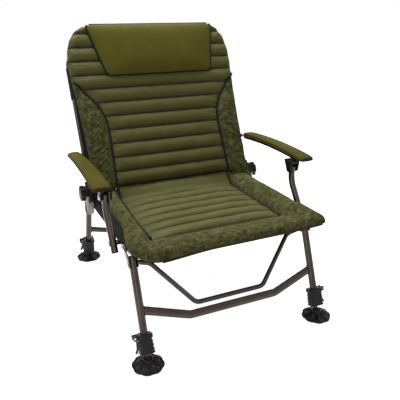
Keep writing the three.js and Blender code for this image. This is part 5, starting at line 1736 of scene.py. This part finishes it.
def build_back_mattress():
    shares = stations([-1, -BACK_PANEL_SHARE, BACK_PANEL_SHARE, 1], CLOTH_STEP / LEFT_HALVES[4])
    seams = [BACK_PAD_START + BACK_PITCH * index for index in range(BACK_CHANNELS + 1)]
    rows = stations([*seams, BACK_PAD_END], CLOTH_STEP)
    column, s = np.meshgrid(shares, rows)
    first = np.clip((seams[1] - s) / BACK_PITCH, 0, 1)
    s = eased(eased(s, seams[1], seams[0]), seams[-1], BACK_PAD_END)
    panel_half = back_panel_half(column, s)
    x, outer = spread(column, BACK_PANEL_SHARE, panel_half, back_half_width(column, s))
    offset = np.abs(x)
    winged = s < BACK_WING_TOP
    panel = outer <= 0

    in_wing = ((outer > 0) & winged) * np.sin(np.pi * np.clip(outer, 0, 1))
    low_down = 1 - smooth_step(s, *WING_FOLD_SPAN)
    bend = ripples(x, s, WING_CREASE_BEND)
    creases = np.sin((offset * 0.7 + s) / WING_CREASE_PITCH + bend)
    folds = WING_CREASE * low_down * creases * (1 + ripples(x, s, WING_CREASE_FADE))
    rise = back_rise(x, s) + in_wing * (ripples(x, s, *WING_RIPPLES) + folds)
    inside = panel * np.clip((panel_half - offset) / PANEL_FADE, 0, 1)
    rise = rise + inside * ripples(x, s * 0.4, BACK_PANEL_RIPPLE)
    rise = rise + panel * puckers(x, s, panel_half, BACK_PUCKER)
    hung = s - WING_DROP * first * smooth_step(outer, 0, 0.3)

    held = border(x.shape)
    held[on_seam(s, BACK_PAD_START, BACK_PITCH) & (panel | (s > BACK_WING_TOP))] = 1
    held[np.isclose(offset, panel_half, atol=0.5) & winged] = 1
    pressed = (s > PILLOW_START - PILLOW_HOLD) & (offset < pillow_half(x, s) + PRESS_OUT)
    held[pressed] = 1
    face = place_grid(BACK, x, -rise, hung)
    face = swell(face, held, in_wing * (0.4 + 0.6 * low_down), BACK_SWELL)

    fade = 1 - smooth_step(s, BACK_SLING_END, BACK_SHOULDER + BACK_BEND)
    rest = SLING_TOP - sag(x, BACK_HALF) * fade
    rest = np.maximum(rest, (HOUSING + PAD_LEAST) * over_housing(offset, s))
    back = place_grid(BACK, x, -np.minimum(rest, rise - PAD_LEAST), hung)
    centre_s = (s[:-1, :-1] + s[1:, 1:]) / 2
    centre_outer = (outer[:-1, :-1] + outer[1:, 1:]) / 2
    zones = np.where((centre_outer > 0.001) & (centre_s < BACK_WING_TOP), 1, 0)
    # Painted shade along the channel seams
    shade = seam_shade(s, seams) * (panel | (s > BACK_WING_TOP))
    pieces = [make_cushion("back_pad", face, back, np.stack([x, s], axis=-1), zones, shade,
                           [satin, velour, sling_cloth], "back", "back_mattress")]

    for name, side in SIDES:
        line = []
        for height in np.linspace(BACK_PAD_START + PIPING_START, BACK_WING_TOP - PIPING_END, 90):
            line.append((side * float(back_panel_half(side, height)), float(height)))
        start = line[-1]
        edge = float(back_half_width(side, BACK_WING_TOP + PIPING_CORNER))
        corner = side * (edge - PAD_LEAST)
        for step in range(1, PIPING_STEPS + 1):
            share = step / PIPING_STEPS
            line.append((between(start[0], corner, share), start[1] + PIPING_RISE * share))
        path = [(px, -float(back_rise(px, ps)) - BACK_PIPING_STAND, ps) for px, ps in line]
        pieces.append(make_cord(f"back_piping_{name}", path, PIPING, "back"))
    ends = zip(x[0], rise[0], hung[0])
    hem = [(float(a), -float(b) - HEM_STAND, float(c) - EDGE) for a, b, c in ends]
    pieces.append(make_cord("back_hem_piping", hem[3:-3], BINDING, "back"))
    return pieces


# Head pillow

def pillow_half(x, s):
    share = np.clip((s - PILLOW_START) / (PILLOW_END - PILLOW_START), 0, 1)
    half = between(by_side(x, PILLOW_START_HALVES), by_side(x, PILLOW_END_HALVES), share)
    return half - corner_loss(np.minimum(s - PILLOW_START, PILLOW_END - s), PILLOW_CORNER)


def build_head_pillow():
    shares = stations([-1, 1], CLOTH_STEP / PILLOW_END_HALVES[0])
    rows = stations([0, 1], CLOTH_STEP / (PILLOW_END - PILLOW_START))
    column, row = np.meshgrid(np.sin(np.pi / 2 * shares), 0.5 - 0.5 * np.cos(np.pi * rows))
    s = between(PILLOW_START, PILLOW_END, row)
    x = column * pillow_half(column, s)
    body = ((1 - np.abs(column) ** 5) * (1 - np.abs(2 * row - 1) ** 4)) ** 0.5
    rise = 1 + PILLOW_EDGE * body ** 0.5 + (PILLOW_CROWN - PILLOW_EDGE) * body
    rise = rise + body * ripples(x, s, *PILLOW_RIPPLES)
    face = place_grid(BACK, x, -PILLOW_FLOOR - rise, s)
    face = swell(face, border(x.shape), np.zeros(x.shape), PILLOW_SWELL)
    back = place_grid(BACK, x, np.full(x.shape, -PILLOW_FLOOR), s)
    zones = np.zeros((x.shape[0] - 1, x.shape[1] - 1), dtype=int)
    pieces = [make_cushion("pillow", face, back, np.stack([x, s], axis=-1), zones,
                           np.zeros(x.shape), [soft_skin, sling_cloth], "back", "head_pillow")]
    for name, side in SIDES:
        path = []
        for height in np.linspace(PILLOW_START + PIPING_END, PILLOW_END - PIPING_END, 60):
            px = side * (float(pillow_half(side, height)) + PILLOW_PIPING_OUT)
            path.append((px, -PILLOW_FLOOR - PILLOW_PIPING_STAND, float(height)))
        pieces.append(make_cord(f"pillow_piping_{name}", path, PIPING * 0.8, "back"))
    ends = (("top", PILLOW_END + PILLOW_PIPING_OUT, PILLOW_END_HALVES),
            ("bottom", PILLOW_START - PILLOW_PIPING_OUT, PILLOW_START_HALVES))
    for name, height, halves in ends:
        places = np.linspace(PILLOW_CORNER - halves[0], halves[1] - PILLOW_CORNER, 50)
        path = [(float(px), -PILLOW_FLOOR - PILLOW_END_STAND, height) for px in places]
        pieces.append(make_cord(f"pillow_{name}_piping", path, PIPING * 0.65, "back"))
    return pieces


# Slings

def sling_sheet(half_span, start, end, wrap=HOOD_WRAP):
    """A sling over both tubes, with each hem an angle down round its tube."""
    inner = half_span - SLING_RADIUS * math.cos(math.radians(SLING_LEAVE))
    half = []
    for angle in np.radians(np.linspace(wrap, SLING_LEAVE, 16)):
        half.append((-half_span + SLING_RADIUS * math.cos(angle), SLING_RADIUS * math.sin(angle)))
    for x in np.linspace(-inner, 0, 30)[1:]:
        half.append((x, SLING_RADIUS - float(sag(x, half_span))))
    line = half + [(-x, z) for x, z in half[-2::-1]]
    rows = stations([start, start + HEM, end - HEM, end], SLING_STEP)
    x, d = np.meshgrid([x for x, _ in line], rows)
    z = np.tile([z for _, z in line], (len(rows), 1))
    slack = np.clip(1 - np.abs(x) / (half_span - 2 * HEM), 0, 1) ** 0.5
    return x, d, z + slack * ripples(x, d, SLING_RIPPLE)


def make_sling(name, grid, line, length, body, node):
    """A sheet from a grid of places, as wide as the line along its first row."""
    points = place_grid(PLANES[body], *grid)
    faces = grid_faces(grid_ids(points.shape)).tolist()
    piece = make_object(name, points.reshape(-1, 3).tolist(), faces, [sling_cloth], [0] * len(faces))
    thickness = piece.modifiers.new("thickness", "SOLIDIFY")
    thickness.thickness = SLING_THICK * 0.6 * MM
    thickness.offset = 0
    settle(piece, body, node)
    line_length(line) * MM


def build_slings():
    x, d, z = sling_sheet(SEAT_HALF, SEAT_CORNER, SEAT_SLING_END)
    make_sling("seat_sling_cloth", (x, d, z), zip(x[0], z[0]), SEAT_SLING_END - SEAT_CORNER,
               "seat", "seat_sling")

    reach = SEAT_HALF - SEAT_CORNER
    angles = np.radians(np.linspace(*APRON_WRAP, 18))
    depths = [*(np.cos(angles) * SLING_RADIUS), SEAT_CORNER * 0.5, SEAT_CORNER + HEM]
    heights = [*(np.sin(angles) * SLING_RADIUS), SLING_RADIUS - APRON_DROP,
               SLING_RADIUS - SLING_SAG * 0.6]
    across, apron_d = np.meshgrid(np.linspace(-reach, reach, 60), depths)
    apron_z = np.tile(np.array(heights)[:, None], (1, 60))
    make_sling("seat_front_apron", (across, apron_d, apron_z), [(-reach, 0), (reach, 0)],
               line_length(zip(depths, heights)), "seat", "")

    spans = (("back_sling_cloth", BACK_SLING_START, BACK_HOOD_START, BACK_WRAP, "back_sling"),
             ("back_sling_hood", BACK_HOOD_START, BACK_SLING_END, HOOD_WRAP, ""))
    for name, start, end, wrap, node in spans:
        x, s, z = sling_sheet(BACK_HALF, start, end, wrap)
        make_sling(name, (x, -z, s), zip(x[0], z[0]), end - start, "back", node)


def line_length(points):
    points = list(points)
    return sum(math.dist(a, b) for a, b in zip(points, points[1:]))


# Studio

def build_backdrop():
    """A white floor and a white world, brighter to look at than the light they give."""
    look = new_look("studio_floor")
    look.set(Roughness=0.9, Specular_IOR_Level=0.1, Base_Color=(0.82, 0.82, 0.82, 1))
    look.set(Emission_Color=(1, 1, 1, 1))
    look.link("Emission Strength", look.math("MULTIPLY", look.directly_seen(), FLOOR_GLOW))
    corners = [(-FLOOR_HALF, -FLOOR_HALF, 0), (FLOOR_HALF, -FLOOR_HALF, 0),
               (FLOOR_HALF, FLOOR_HALF, 0), (-FLOOR_HALF, FLOOR_HALF, 0)]
    make_object("floor", corners, [(0, 1, 2, 3)], [look.owner], [0])

    world = Look(bpy.data.worlds.new("studio"), "Background")
    world.link("Strength", world.span(world.directly_seen(), WORLD_LIGHT, 1.0))
    world.set(Color=(1, 1, 1, 1))
    bpy.context.scene.world = world.owner


def hang(name, data, place):
    holder = bpy.data.objects.new(name, data)
    bpy.context.scene.collection.objects.link(holder)
    holder.location = place
    return holder


def add_lamp(name, place, size, watts, height):
    """A lamp that shines at the chair: a disk, or a strip where it has a height."""
    lamp = bpy.data.lights.new(name, "AREA")
    lamp.shape = "RECTANGLE" if height else "DISK"
    lamp.size = size
    if height:
        lamp.size_y = height
    lamp.energy = watts
    aim = Vector(LAMP_AIM) - Vector(place)
    hang(name, lamp, place).rotation_euler = aim.to_track_quat("-Z", "Y").to_euler()


def build_studio():
    build_backdrop()
    for row in LAMPS:
        add_lamp(*row)
    camera = bpy.data.cameras.new("camera")
    camera.lens = CAMERA_LENS
    camera.sensor_width = CAMERA_SENSOR
    camera.sensor_fit = "HORIZONTAL"
    holder = hang("camera", camera, CAMERA_PLACE)
    holder.rotation_euler = (math.radians(90 - CAMERA_DOWN), 0, math.radians(-CAMERA_TURN))
    bpy.context.scene.camera = holder
    bpy.context.scene.view_settings.view_transform = "Standard"


build_seat_frame()
build_back_frame()
build_recline_hinges()
build_leg_set("front", -1, FRONT_PIVOT)
build_leg_set("rear", 1, SEAT_LENGTH - REAR_PIVOT)
build_arms()
build_slings()
for piece in build_seat_mattress():
    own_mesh(piece)
for piece in build_back_mattress() + build_head_pillow():
    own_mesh(piece)
build_studio()
